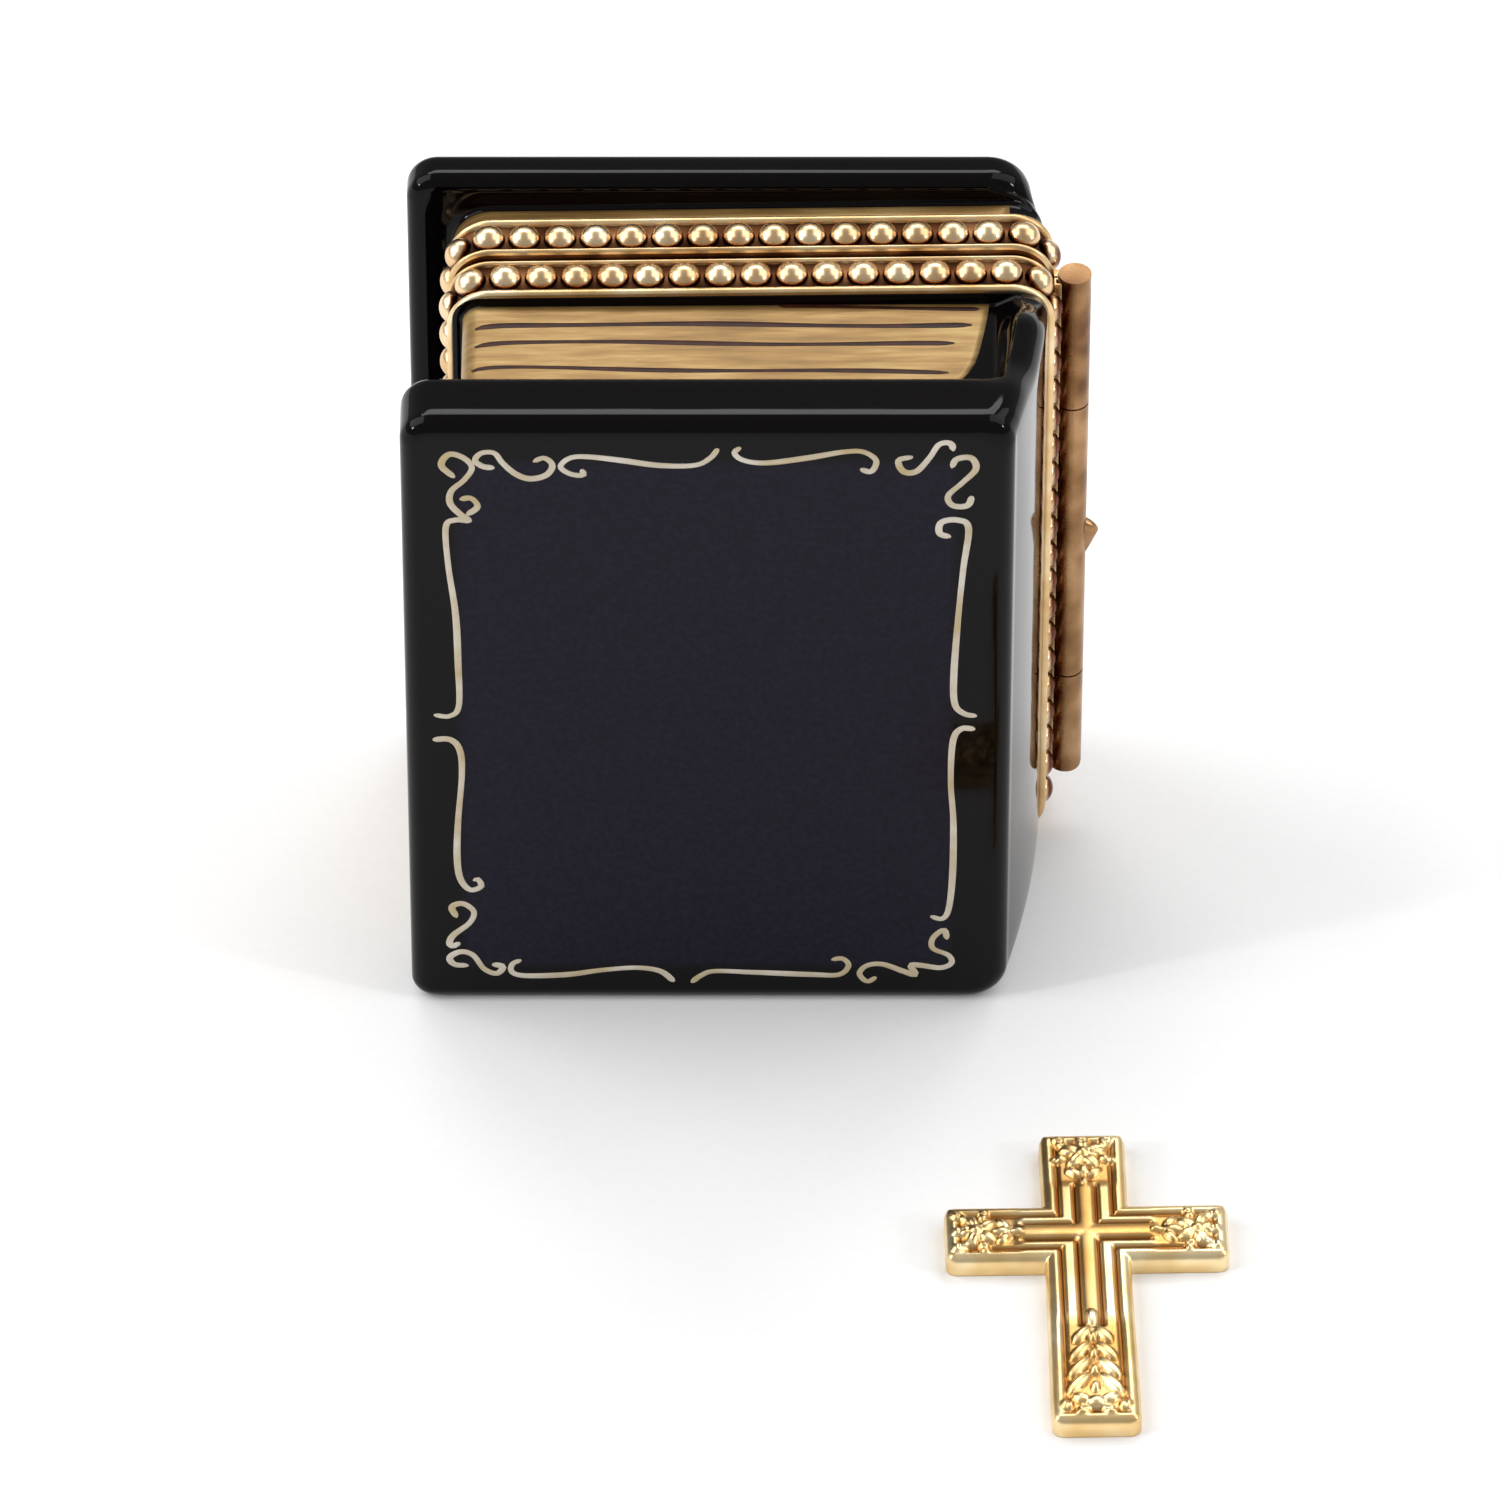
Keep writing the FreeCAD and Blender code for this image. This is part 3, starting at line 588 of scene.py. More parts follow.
def front_shell_rings():
    """Rings from the middle of the front cover, over the pages and the rim, to the hollow's floor."""
    sizes = bpy.context.scene.prayer_porcelain
    front_round = sizes.front_round / MM
    rear_round = sizes.rear_round / MM
    page_left = RIM["left"] + PAGE_RECESS
    page_high = RIM["high"] - PAGE_RECESS
    board_rear = FRONT_FACE + FRONT_BOARD
    fillet = 0.5
    shoulder = 0.14
    share = stepped_share(outline(page_left, RIM["right"], 0, page_high, 1.6, 2.4, 1, 1))

    def board(inset, y):
        """The front cover's outline at a depth, drawn in by inset on every side."""
        reach = spine_bulge(y)
        return outline(-HALF_WIDTH + inset, reach - inset, inset, HEAD - inset,
                       2.0, max(2.5 - inset, 0.4), max(1.5 - inset, 0.3), max(2.0 - inset, 0.4))

    def flush(y):
        """The outline that follows the spine."""
        return outline(-HALF_WIDTH, spine_bulge(y), 0, spine_head(y), 1.7, 2.4, 1.4, 2.0)

    rings = [at_depth(board(inset, FRONT_FACE), FRONT_FACE) for inset in (6.0, 3.0, 1.6)]
    for angle in quarter(8):
        inset = front_round * (1 - math.sin(angle))
        y = FRONT_FACE + front_round * (1 - math.cos(angle))
        rings.append(at_depth(board(inset, FRONT_FACE + front_round), y))
    stations = []
    for y in np.linspace(FRONT_FACE + front_round, board_rear - rear_round, 6)[1:]:
        stations.append((board(0, y), y))
    for angle in quarter(7)[1:]:
        inset = rear_round * (1 - math.cos(angle))
        stations.append((board(inset, board_rear), board_rear - rear_round + rear_round * math.sin(angle)))
    for fraction in np.linspace(0, 1, 6)[1:]:
        inset = rear_round + fraction * (page_left + HALF_WIDTH - fillet - rear_round)
        drop = rear_round + fraction * (HEAD - page_high - fillet - rear_round)
        radius = 1.2 + 0.3 * fraction
        stations.append((outline(-HALF_WIDTH + inset, RIM["right"], 0, HEAD - drop, 1.7, 2.4, radius, radius),
                         board_rear))
    for angle in quarter(5)[1:]:
        out = fillet * (1 - math.sin(angle))
        y = board_rear + fillet * (1 - math.cos(angle))
        stations.append((outline(page_left - out, RIM["right"], 0, page_high + out, 1.7, 2.4, 1.1, 1.1), y))
    for y in np.linspace(board_rear + fillet, FRONT_SEAM - shoulder, 22)[1:]:
        block = outline(page_left, RIM["right"], 0, page_high, 1.7, 2.4, 1.1, 1.1)
        stations.append((risen(block, PAGE_RISE), y))
    flush_y = FRONT_FACE + front_round
    for stepped, y in stations:
        flush_y = max(y, flush_y + 0.03)
        rings.append(mixed_ring(share, stepped, y, flush(flush_y), flush_y))
    for proud, back in ((-0.62, 0.12), (-0.35, 0.09), (-0.08, 0.07), (0.0, 0.03), (0.0, 0.0)):
        y = FRONT_SEAM - back
        rise = PAGE_RISE + (HEAD_RISE - PAGE_RISE) * (1 + proud / PAGE_RECESS)
        block = outline(RIM["left"] - proud, RIM["right"], 0.02, RIM["high"] + proud, 1.7, 2.4, 1.7, 1.7)
        flushed = outline(-HALF_WIDTH, RIM["right"] - 0.05, 0.02, spine_head(y), 2.0, 2.4, 1.4, 2.0)
        rings.append(mixed_ring(share, risen(block, rise), y, flushed, y))
    outer_count = len(rings)
    rim_end = FRONT_MATE - FLANGE
    floor = FRONT_FACE + COVER_FLOOR
    rings += [at_depth(rim_outline(-RIM_SEAT), y) for y in (FRONT_SEAM + 0.01, rim_end - 0.02)]
    rings += hollow_rings(rim_end - 0.02, floor, -1, 0.0)
    return rings, outer_count


def hollow_rings(mouth, floor, direction, lift):
    """The hollow's rings from its mouth to its floor, which is rounded; direction is -1 or 1 along Y."""
    round_off = 1.3
    rings = [at_depth(rim_outline(-WALL, CAVITY_CORNER, lift), y)
             for y in np.linspace(mouth, floor - direction * round_off, 5)]
    for angle in quarter(5)[1:]:
        inset = round_off * (1 - math.cos(angle))
        y = floor - direction * round_off * (1 - math.sin(angle))
        rings.append(at_depth(rim_outline(-WALL - inset, max(CAVITY_CORNER - inset, 0.5), lift), y))
    rings.append(at_depth(rim_outline(-WALL - 4.0, 0.5, lift), floor))
    return rings


def back_shell_rings():
    """Rings from the middle of the back cover, over the rim, to the lid's floor."""
    sizes = bpy.context.scene.prayer_porcelain
    outer_round = sizes.front_round / MM
    inner_round = sizes.rear_round / MM
    foot = BACK_LOW[2]
    rim_high = RIM["high"] + LID_LIFT
    spine = BACK_BOARD_SPINE
    board_inner = BACK_FACE - BACK_BOARD
    fillet = 0.35
    ring_points = rim_outline(0)
    share = np.ones(RING)
    spine_from = HEAD_HALF + CORNER_STEPS
    share[spine_from:spine_from + SIDE_STEPS + CORNER_STEPS] = 0
    corner = slice(HEAD_HALF, HEAD_HALF + CORNER_STEPS)
    share[corner] = np.linspace(1, 0, CORNER_STEPS)
    foot_side = slice(spine_from + SIDE_STEPS + CORNER_STEPS, spine_from + 2 * SIDE_STEPS + CORNER_STEPS)
    share[foot_side] = smooth_step((FOOT_STEP - ring_points[foot_side, 0]) / 4.0)

    def board(inset):
        """The back cover's outline, drawn in by inset on every side."""
        corners = [max(radius - inset, least)
                   for radius, least in ((2.8, 0.5), (2.5, 0.4), (1.5, 0.3), (2.0, 0.4))]
        return outline(-HALF_WIDTH + inset, spine - inset, foot + inset, HEAD - inset, *corners)

    def flush(y):
        """The spine side swells from the board to the mount."""
        swell = smooth_step((BACK_FACE - outer_round - y) / (BACK_FACE - outer_round - BACK_SEAM))
        reach = spine + (RIM["right"] - spine) * swell
        return outline(-HALF_WIDTH, reach, foot, HEAD - (HEAD - rim_high) * swell, 2.6, 2.4, 1.4, 2.0)

    rings = [at_depth(board(inset), BACK_FACE) for inset in (6.0, 3.0, 1.6)]
    for angle in quarter(8):
        inset = outer_round * (1 - math.sin(angle))
        rings.append(at_depth(board(inset), BACK_FACE - outer_round * (1 - math.cos(angle))))
    stations = []
    for y in np.linspace(BACK_FACE - outer_round, board_inner + inner_round, 4)[1:]:
        stations.append((board(0), y))
    for angle in quarter(7)[1:]:
        inset = inner_round * (1 - math.cos(angle))
        stations.append((board(inset), board_inner + inner_round - inner_round * math.sin(angle)))
    for fraction in np.linspace(0, 1, 6)[1:]:
        inset = inner_round + fraction * (RIM["left"] + HALF_WIDTH - fillet - inner_round)
        drop = inner_round + fraction * (HEAD - rim_high - fillet - inner_round)
        stations.append((outline(-HALF_WIDTH + inset, spine + (RIM["right"] - spine) * fraction, foot,
                                 HEAD - drop, 2.6, 2.4, 2.0, 2.2), board_inner))
    for angle in quarter(4)[1:]:
        out = fillet * (1 - math.sin(angle))
        strip = outline(RIM["left"] - out, RIM["right"], foot, rim_high + out, 2.4, 2.4, 2.4, 2.4)
        stations.append((risen(strip, HEAD_RISE), board_inner - fillet * (1 - math.cos(angle))))
    for y in np.linspace(board_inner - fillet, BACK_SEAM, 6)[1:]:
        strip = outline(RIM["left"], RIM["right"], foot, rim_high, 2.4, 2.4, 2.4, 2.4)
        stations.append((risen(strip, HEAD_RISE), y))
    depths = np.linspace(BACK_FACE - outer_round, BACK_SEAM, len(stations) + 1)[1:]
    for (stepped, y), flush_y in zip(stations, depths):
        rings.append(mixed_ring(share, stepped, y, flush(flush_y), flush_y))
    outer_count = len(rings)
    rim_end = BACK_MATE + FLANGE
    rings += [at_depth(rim_outline(-RIM_SEAT, lift=LID_LIFT), y) for y in (BACK_SEAM - 0.01, rim_end + 0.02)]
    rings += hollow_rings(rim_end + 0.02, BACK_FACE - COVER_FLOOR, 1, LID_LIFT)
    return rings, outer_count


def make_shell(name, rings, outer_count, body, node):
    """The lofted shell: black glaze outside, clear glaze over white inside."""
    verts, faces = loft(rings)
    ring_rows = [row for row in range(len(rings) - 1) for _ in range(RING)]
    slots = [0 if row < outer_count else 1 for row in ring_rows] + [0, 1]
    piece = new_piece(name, verts, faces, ["glazed_black_porcelain", "clear_glazed_white_porcelain"], slots)
    face_outwards(piece)
    finish_piece(piece, body, "glazed_porcelain", node)


class BOOK_OT_front_shell(bpy.types.Operator):
    """Make the deep half's glazed porcelain"""
    bl_idname = "prayer_book.front_shell"
    bl_label = "Front shell"

    def execute(self, context):
        rings, outer_count = front_shell_rings()
        make_shell("front_porcelain", rings, outer_count, FRONT, "front_shell")
        return {"FINISHED"}


class BOOK_OT_back_shell(bpy.types.Operator):
    """Make the lid's glazed porcelain"""
    bl_idname = "prayer_book.back_shell"
    bl_label = "Back shell"

    def execute(self, context):
        rings, outer_count = back_shell_rings()
        make_shell("back_porcelain", rings, outer_count, BACK, "back_shell")
        return {"FINISHED"}


# ---------------------------------------------------------------- gilt pages


def page_path(left, high, radius, end_x, low):
    """Points down a page block's head and fore-edge, from end_x on the head to low on the fore-edge."""
    head = np.linspace(end_x, left + radius, 60)
    points = [(x, high) for x in head]
    for angle in np.radians(np.linspace(90, 180, 12)[1:]):
        points.append((left + radius + radius * math.cos(angle), high - radius + radius * math.sin(angle)))
    points += [(left, z) for z in np.linspace(high - radius, low, 50)[1:]]
    return points


def gold_sheet(name, path_for, depths, rise, body):
    """A thin painted skin: one path for each depth, all with the same number of points."""
    verts, faces = [], []
    depths = sorted(depths)
    for depth in depths:
        path = risen(np.array(path_for(depth)), rise)
        columns = len(path)
        verts += [(x, depth, z) for x, z in path]
    for row in range(len(depths) - 1):
        for column in range(columns - 1):
            a, b = row * columns + column, (row + 1) * columns + column
            faces.append((a, b, b + 1, a + 1))
    piece = new_piece(name, verts, faces, ["brushed_fired_gold"])
    thicken(piece, 0.04)
    finish_piece(piece, body, "glazed_porcelain")


def thicken(piece, thickness_mm):
    """Give a skin a real thickness inwards."""
    solid = piece.modifiers.new("thickness", "SOLIDIFY")
    solid.thickness = thickness_mm * MM
    solid.offset = -1.0
    bake_modifiers(piece)


def bake_modifiers(piece):
    """Replace an object's mesh by its evaluated one and drop the modifiers."""
    graph = bpy.context.evaluated_depsgraph_get()
    done = bpy.data.meshes.new_from_object(piece.evaluated_get(graph))
    piece.modifiers.clear()
    piece.data = done


# How far along the head the gold reaches, as pairs of depth and x.
PAGE_ENDS = ((-8.0, 10.5), (-7.2, 13.4), (-6.5, 14.9), (-5.8, 15.8), (-5.0, 16.4), (-4.0, 16.85),
             (-2.8, 17.15), (-1.4, 17.4), (0.2, 17.65), (1.95, 17.85))


def front_page_end(y):
    """Where the gold stops on the head, short of the spine: it slants in and rounds off to the cover."""
    depths, ends = zip(*PAGE_ENDS)
    return float(np.interp(y, depths, ends))


class BOOK_OT_gilt_pages(bpy.types.Operator):
    """Paint the gilt page edges and their fine lines"""
    bl_idname = "prayer_book.gilt_pages"
    bl_label = "Gilt pages"

    def execute(self, context):
        skin = 0.035
        left = RIM["left"] + PAGE_RECESS - skin
        high = RIM["high"] - PAGE_RECESS + skin
        depths = np.linspace(FRONT_SEAM - 0.16, FRONT_FACE + FRONT_BOARD + 0.52, 40)
        gold_sheet("front_page_gold", lambda y: page_path(left, high, 1.1 + skin, front_page_end(y), 1.4),
                   depths, PAGE_RISE, FRONT)
        back_depths = np.linspace(BACK_SEAM + 0.02, BACK_FACE - BACK_BOARD - 0.36, 5)
        back_high = RIM["high"] + LID_LIFT + skin
        gold_sheet("back_page_gold",
                   lambda y: page_path(RIM["left"] - skin, back_high, RIM_CORNER + skin, 19.2, 3.2),
                   back_depths, HEAD_RISE, BACK)
        make_page_lines(high, left)
        return {"FINISHED"}


def make_page_lines(high, left):
    """Lines painted along the head and down the fore-edge, each a flat brush stroke."""
    head_lines = (
        (4.6, 17.2, 1.62, 1.38, 0.34),
        (-14.5, 16.7, 0.12, -0.28, 0.42),
        (-14.5, 15.6, -1.62, -2.10, 0.38),
        (-14.7, 15.2, -4.05, -4.85, 0.36),
    )
    strokes = []
    for index, (start, end, y_start, y_end, width) in enumerate(head_lines):
        x = np.linspace(start, end, 60)
        along = (x - start) / (end - start)
        droop = 0.45 * np.exp(-(x - start) / 0.9) * (index > 0)
        y = y_start + (y_end - y_start) * along - droop + 0.09 * np.sin(x / 3.4 + 1.7 * index)
        flat = risen(np.column_stack([x, np.full(len(x), high + 0.012)]), PAGE_RISE)
        widths = width * (1 + 0.18 * np.sin(x / 2.3 + index))
        strokes.append((np.column_stack([x, y, flat[:, 1]]), widths, Vector((0, 0, 1))))
    fore_lines = ((1.5, 43.0, 1.0), (2.2, 44.0, 2.5), (1.8, 43.6, 4.3), (2.6, 43.0, 6.0), (2.0, 43.9, 8.0))
    for index, (start, end, back) in enumerate(fore_lines):
        z = np.linspace(start, end, 60)
        y = FRONT_SEAM - back + 0.08 * np.sin(z / 4 + index * 1.3)
        points = np.column_stack([np.full(len(z), left - 0.012), y, z])
        strokes.append((points, 0.34, Vector((-1, 0, 0))))
    piece = brush_strokes("page_lines", strokes, "sepia_enamel_line", 0.025)
    finish_piece(piece, FRONT, "glazed_porcelain")


def brush_strokes(name, strokes, finish, rise):
    """Low rounded ribbons along lists of points; each stroke is points, a width and its face's normal."""
    verts, faces = [], []
    across_steps = (-1.0, -0.6, 0.0, 0.6, 1.0)
    for points, width, normal in strokes:
        widths = np.broadcast_to(width, len(points))
        first = len(verts)
        for index, point in enumerate(points):
            ahead = points[min(index + 1, len(points) - 1)]
            behind = points[max(index - 1, 0)]
            along = Vector(ahead - behind).normalized()
            side = normal.cross(along)
            taper = min(1.0, 0.35 + 0.5 * index, 0.35 + 0.5 * (len(points) - 1 - index))
            for across in across_steps:
                lift = rise * (1 - across * across)
                place = Vector(point) + side * (across * widths[index] * taper / 2) + normal * lift
                verts.append(tuple(place))
        columns = len(across_steps)
        for row in range(len(points) - 1):
            for column in range(columns - 1):
                a, b = first + row * columns + column, first + (row + 1) * columns + column
                faces.append((a, b, b + 1, a + 1))
    piece = new_piece(name, verts, faces, [finish])
    with edited(piece) as edit:
        bmesh.ops.recalc_face_normals(edit, faces=edit.faces)
    return piece


# ---------------------------------------------------------------- painted border

# Each stroke of the border is a few points in millimetres from the middle of the cover (right, up).
BORDER = (
    # head, from the fore-edge side to the spine side
    ((-15.6, 20.1), (-16.4, 21.1), (-15.9, 22.0), (-15.0, 21.7), (-14.5, 20.9), (-15.0, 19.9), (-15.8, 19.0),
     (-15.9, 18.0), (-15.3, 17.1), (-14.6, 16.5)),
    ((-15.3, 18.3), (-14.6, 18.4), (-14.2, 17.7), (-14.9, 17.0)),
    ((-13.1, 20.9), (-13.8, 21.0), (-14.3, 21.5), (-13.9, 22.1), (-13.1, 22.1), (-12.6, 21.3), (-11.8, 20.4),
     (-10.9, 20.0), (-9.9, 20.3), (-9.5, 21.1), (-10.0, 21.7), (-10.7, 21.4)),
    ((-7.7, 20.8), (-7.6, 20.3), (-8.4, 20.4), (-9.0, 21.0), (-8.4, 21.7), (-7.3, 21.8), (-5.2, 21.5),
     (-2.9, 21.1), (-0.7, 21.1), (0.3, 21.7), (0.8, 22.5)),
    ((2.2, 22.6), (1.8, 22.1), (2.4, 21.5), (3.8, 21.3), (6.3, 21.7), (8.6, 22.2), (9.8, 22.2), (10.6, 21.5),
     (10.3, 20.6), (9.6, 20.8)),
    ((12.9, 21.8), (12.0, 21.5), (12.3, 20.6), (13.1, 20.6), (13.9, 21.7), (14.5, 22.8), (15.2, 22.9),
     (15.4, 22.3)),
    ((15.3, 20.9), (15.6, 21.6), (16.5, 21.7), (16.8, 20.8), (16.0, 19.7), (15.1, 18.6), (15.4, 17.8),
     (16.3, 17.8), (16.6, 18.6)),
    # spine side, from head to foot
    ((15.3, 15.2), (14.6, 15.5), (14.7, 16.4), (15.7, 16.6), (16.4, 15.9), (16.1, 12.5), (15.8, 8.0),
     (15.6, 3.4), (15.7, 1.2), (16.3, 0.4), (17.1, 0.2)),
    ((17.0, -0.9), (16.1, -0.9), (15.6, -2.0), (15.5, -5.4), (15.7, -8.8), (15.7, -13.2), (15.5, -16.2),
     (15.1, -17.2), (14.3, -17.0)),
    # corner at the spine's foot
    ((15.4, -19.0), (15.2, -18.2), (14.5, -18.9), (14.5, -19.8), (15.5, -20.4), (15.7, -21.1), (15.0, -21.5),
     (13.8, -21.3), (13.1, -21.3), (13.4, -22.1), (12.6, -21.8), (11.3, -21.2), (10.3, -21.3), (9.8, -22.0),
     (10.3, -22.7), (10.9, -22.3)),
    # foot
    ((8.0, -20.8), (8.7, -20.7), (9.1, -21.3), (8.5, -22.1), (6.8, -22.1), (3.0, -21.9), (0.5, -21.8),
     (-0.4, -22.2), (-1.0, -22.8)),
    ((-11.9, -20.8), (-12.5, -21.2), (-12.5, -21.9), (-11.6, -22.2), (-9.0, -22.1), (-6.7, -21.7),
     (-4.5, -21.5), (-3.0, -21.8), (-2.1, -22.7)),
    ((-15.3, -21.3), (-16.2, -21.2), (-16.5, -20.6), (-15.8, -20.1), (-15.0, -20.4), (-14.3, -21.6),
     (-13.5, -22.0), (-13.1, -21.4), (-13.8, -21.2)),
    ((-16.0, -17.1), (-16.3, -16.2), (-15.6, -15.9), (-14.9, -16.6), (-15.2, -17.6), (-16.2, -18.6),
     (-16.5, -19.3), (-16.3, -19.6), (-15.8, -19.3)),
    # fore-edge side, from foot to head
    ((-17.3, -1.8), (-16.2, -1.8), (-15.6, -2.7), (-15.5, -4.8), (-15.8, -8.9), (-15.9, -12.0),
     (-15.7, -13.8), (-15.1, -14.7), (-14.4, -14.4), (-14.6, -13.8), (-14.9, -13.9)),
    ((-14.6, 16.5), (-15.6, 16.6), (-16.2, 16.0), (-16.1, 12.9), (-15.7, 8.8), (-15.6, 4.7), (-15.6, 1.1),
     (-16.2, 0.2), (-17.2, 0.3)),
)


def smooth_line(points, spacing):
    """Evenly spaced points on the smooth curve through a few plane points."""
    knots = np.array(points, float)
    padded = np.vstack([2 * knots[0] - knots[1], knots, 2 * knots[-1] - knots[-2]])
    dense = []
    for index in range(1, len(padded) - 2):
        before, start, end, after = padded[index - 1:index + 3]
        for share in np.linspace(0, 1, 20, endpoint=False):
            dense.append(0.5 * (2 * start + (end - before) * share
                                + (2 * before - 5 * start + 4 * end - after) * share ** 2
                                + (3 * start - before - 3 * end + after) * share ** 3))
    dense.append(knots[-1])
    dense = np.array(dense)
    lengths = np.concatenate([[0], np.cumsum(np.linalg.norm(np.diff(dense, axis=0), axis=1))])
    wanted = np.linspace(0, lengths[-1], max(int(lengths[-1] / spacing), 6))
    return np.column_stack([np.interp(wanted, lengths, dense[:, axis]) for axis in (0, 1)])


class BOOK_OT_painted_border(bpy.types.Operator):
    """Paint the scroll border on the front cover"""
    bl_idname = "prayer_book.painted_border"
    bl_label = "Painted border"

    def execute(self, context):
        sizes = context.scene.prayer_paint
        width = sizes.line / MM
        rise = sizes.rise / MM
        strokes = []
        for number, points in enumerate(BORDER):
            line = smooth_line(points, 0.16)
            swell = 1 + 0.10 * np.sin(np.linspace(0, 9, len(line)) + number)
            depth = np.full(len(line), FRONT_FACE - 0.005)
            placed = np.column_stack([line[:, 0], depth, line[:, 1] + HEAD / 2])
            strokes.append((placed, width * swell, Vector((0, -1, 0))))
        piece = brush_strokes("painted_border", strokes, "ivory_gold_enamel", rise)
        finish_piece(piece, FRONT, "glazed_porcelain")
        return {"FINISHED"}


# ---------------------------------------------------------------- gilt mounts


def rounded_strip(name, profile, lift, body, node):
    """A profile of (depth, proud, dark) points carried round the rim; dark marks the rows given painted shade.
    """
    rings = []
    for depth, proud, _ in profile:
        corner = RIM_CORNER + proud if proud > -BAND - 0.1 else CAVITY_CORNER + (proud + WALL)
        rings.append(at_depth(rim_outline(proud, corner, lift), depth))
    rings.append(rings[0])
    verts, faces = loft(rings, close_ends=False)
    slots = [int(dark) for _, _, dark in profile for _ in range(RING)]
    piece = new_piece(name, verts, faces, ["polished_gilt_brass", "channel_painted_shade"], slots)
    with edited(piece) as edit:
        bmesh.ops.remove_doubles(edit, verts=edit.verts, dist=1e-7)
        bmesh.ops.recalc_face_normals(edit, faces=edit.faces)
    face_outwards(piece)
    finish_piece(piece, body, "gilt_brass", node)


def lip_points(low, high):
    """A lip's rounded crest between two depths."""
    middle, half = (low + high) / 2, (high - low) / 2
    return [(middle + half * math.cos(angle), 0.04 + (LIP - 0.04) * math.sin(angle) ** 0.8, False)
            for angle in np.radians(np.linspace(180, 0, 9))]


def mount_profile(seam, mate, inner):
    """The strip's section, from its seam with the porcelain to the parting and round the inside."""
    away = 1 if mate > seam else -1
    width = abs(mate - seam)
    outer = lip_points(0, OUTER_LIP)
    mating = lip_points(width - MATING_LIP, width - 0.03)
    # Rows flagged True carry painted shade: the channel where the beads sit, and the mating face at the
    # parting.
    outer[-1] = (*outer[-1][:2], True)
    mating[-1] = (*mating[-1][:2], True)
    channel = [(OUTER_LIP + 0.06, -0.03, True), (width - MATING_LIP - 0.06, -0.03, True)]
    face = [(width, 0.0, True), (width, -BAND, False), (width, inner + 0.1, False),
            (width - 0.1, inner, False), (width - FLANGE, inner, False), (width - FLANGE, -BAND, False),
            (0, -BAND, False)]
    profile = outer + channel + mating + face
    return [(seam + away * depth, proud, dark) for depth, proud, dark in profile]


def rim_position(distance, proud):
    """Point and outward direction at a distance along the rim, from the middle of the head."""
    left, right, low, high = (RIM[key] for key in ("left", "right", "low", "high"))
    radius = RIM_CORNER
    half = (right - left) / 2 - radius
    flats = (
        (((left + right) / 2, high), (1, 0), half),
        ((right, high - radius), (0, -1), high - low - 2 * radius),
        ((right - radius, low), (-1, 0), 2 * half),
        ((left, low + radius), (0, 1), high - low - 2 * radius),
        ((left + radius, high), (1, 0), half),
    )
    for start, direction, length in flats:
        start, direction = np.array(start, float), np.array(direction, float)
        outward = np.array([-direction[1], direction[0]])
        if distance <= length:
            return start + direction * distance + outward * proud, outward
        distance -= length
        if distance <= radius * math.pi / 2:
            turn = distance / radius
            radial = outward * math.cos(turn) + direction * math.sin(turn)
            return start + direction * length - outward * radius + radial * (radius + proud), radial
        distance -= radius * math.pi / 2
    raise ValueError("the distance is longer than the rim")


def rim_length():
    """The rim's length, with its four rounded corners."""
    sides = 2 * (RIM["right"] - RIM["left"] + RIM["high"] - RIM["low"])
    return sides - 8 * RIM_CORNER + 2 * math.pi * RIM_CORNER


def bead_tree(radius, height):
    """Geometry nodes: a low dome on every point of a mesh, turned to the point's normal."""
    tree = bpy.data.node_groups.new("beading_row", "GeometryNodeTree")
    face = tree.interface
    face.new_socket("Geometry", in_out="INPUT", socket_type="NodeSocketGeometry")
    for name, value in (("Radius", radius), ("Height", height)):
        socket = face.new_socket(name, in_out="INPUT", socket_type="NodeSocketFloat")
        socket.default_value = value
    face.new_socket("Geometry", in_out="OUTPUT", socket_type="NodeSocketGeometry")
    source = add_node(tree, "NodeGroupInput")
    target = add_node(tree, "NodeGroupOutput")

    def step(kind, geometry, settings=None, **links):
        """A node that takes a geometry and gives one."""
        return add_node(tree, kind, settings, {"Geometry": geometry, **links}).outputs["Geometry"]

    ball = add_node(tree, "GeometryNodeMeshUVSphere", {"Segments": 20, "Rings": 14, "Radius": 1.0})
    position = add_node(tree, "GeometryNodeInputPosition").outputs[0]
    place = add_node(tree, "ShaderNodeSeparateXYZ", links={0: position})
    # The height on the dome is stored as rise; the beads' finish paints shade where it is low, at each bead's
    # foot.
    dome = step("GeometryNodeStoreNamedAttribute", ball.outputs["Mesh"], {"Name": "rise"},
                Value=place.outputs["Z"])
    wide, tall = source.outputs["Radius"], source.outputs["Height"]
    scale = add_node(tree, "ShaderNodeCombineXYZ", links={"X": wide, "Y": wide, "Z": tall})
    dome = step("GeometryNodeTransform", dome, Scale=scale.outputs[0])
    normal = add_node(tree, "GeometryNodeInputNamedAttribute",
                      {"data_type": "FLOAT_VECTOR", "Name": "outward"})
    turn = add_node(tree, "FunctionNodeAlignRotationToVector", {"axis": "Z"},
                    {"Vector": normal.outputs["Attribute"]})
    placed = add_node(tree, "GeometryNodeInstanceOnPoints",
                      links={"Points": source.outputs["Geometry"], "Instance": dome,
                             "Rotation": turn.outputs["Rotation"]})
    row = step("GeometryNodeRealizeInstances", placed.outputs["Instances"])
    row = step("GeometryNodeSetShadeSmooth", row)
    row = step("GeometryNodeSetMaterial", row, {"Material": material("gilt_beads")})
    tree.links.new(row, target.inputs["Geometry"])
    return tree


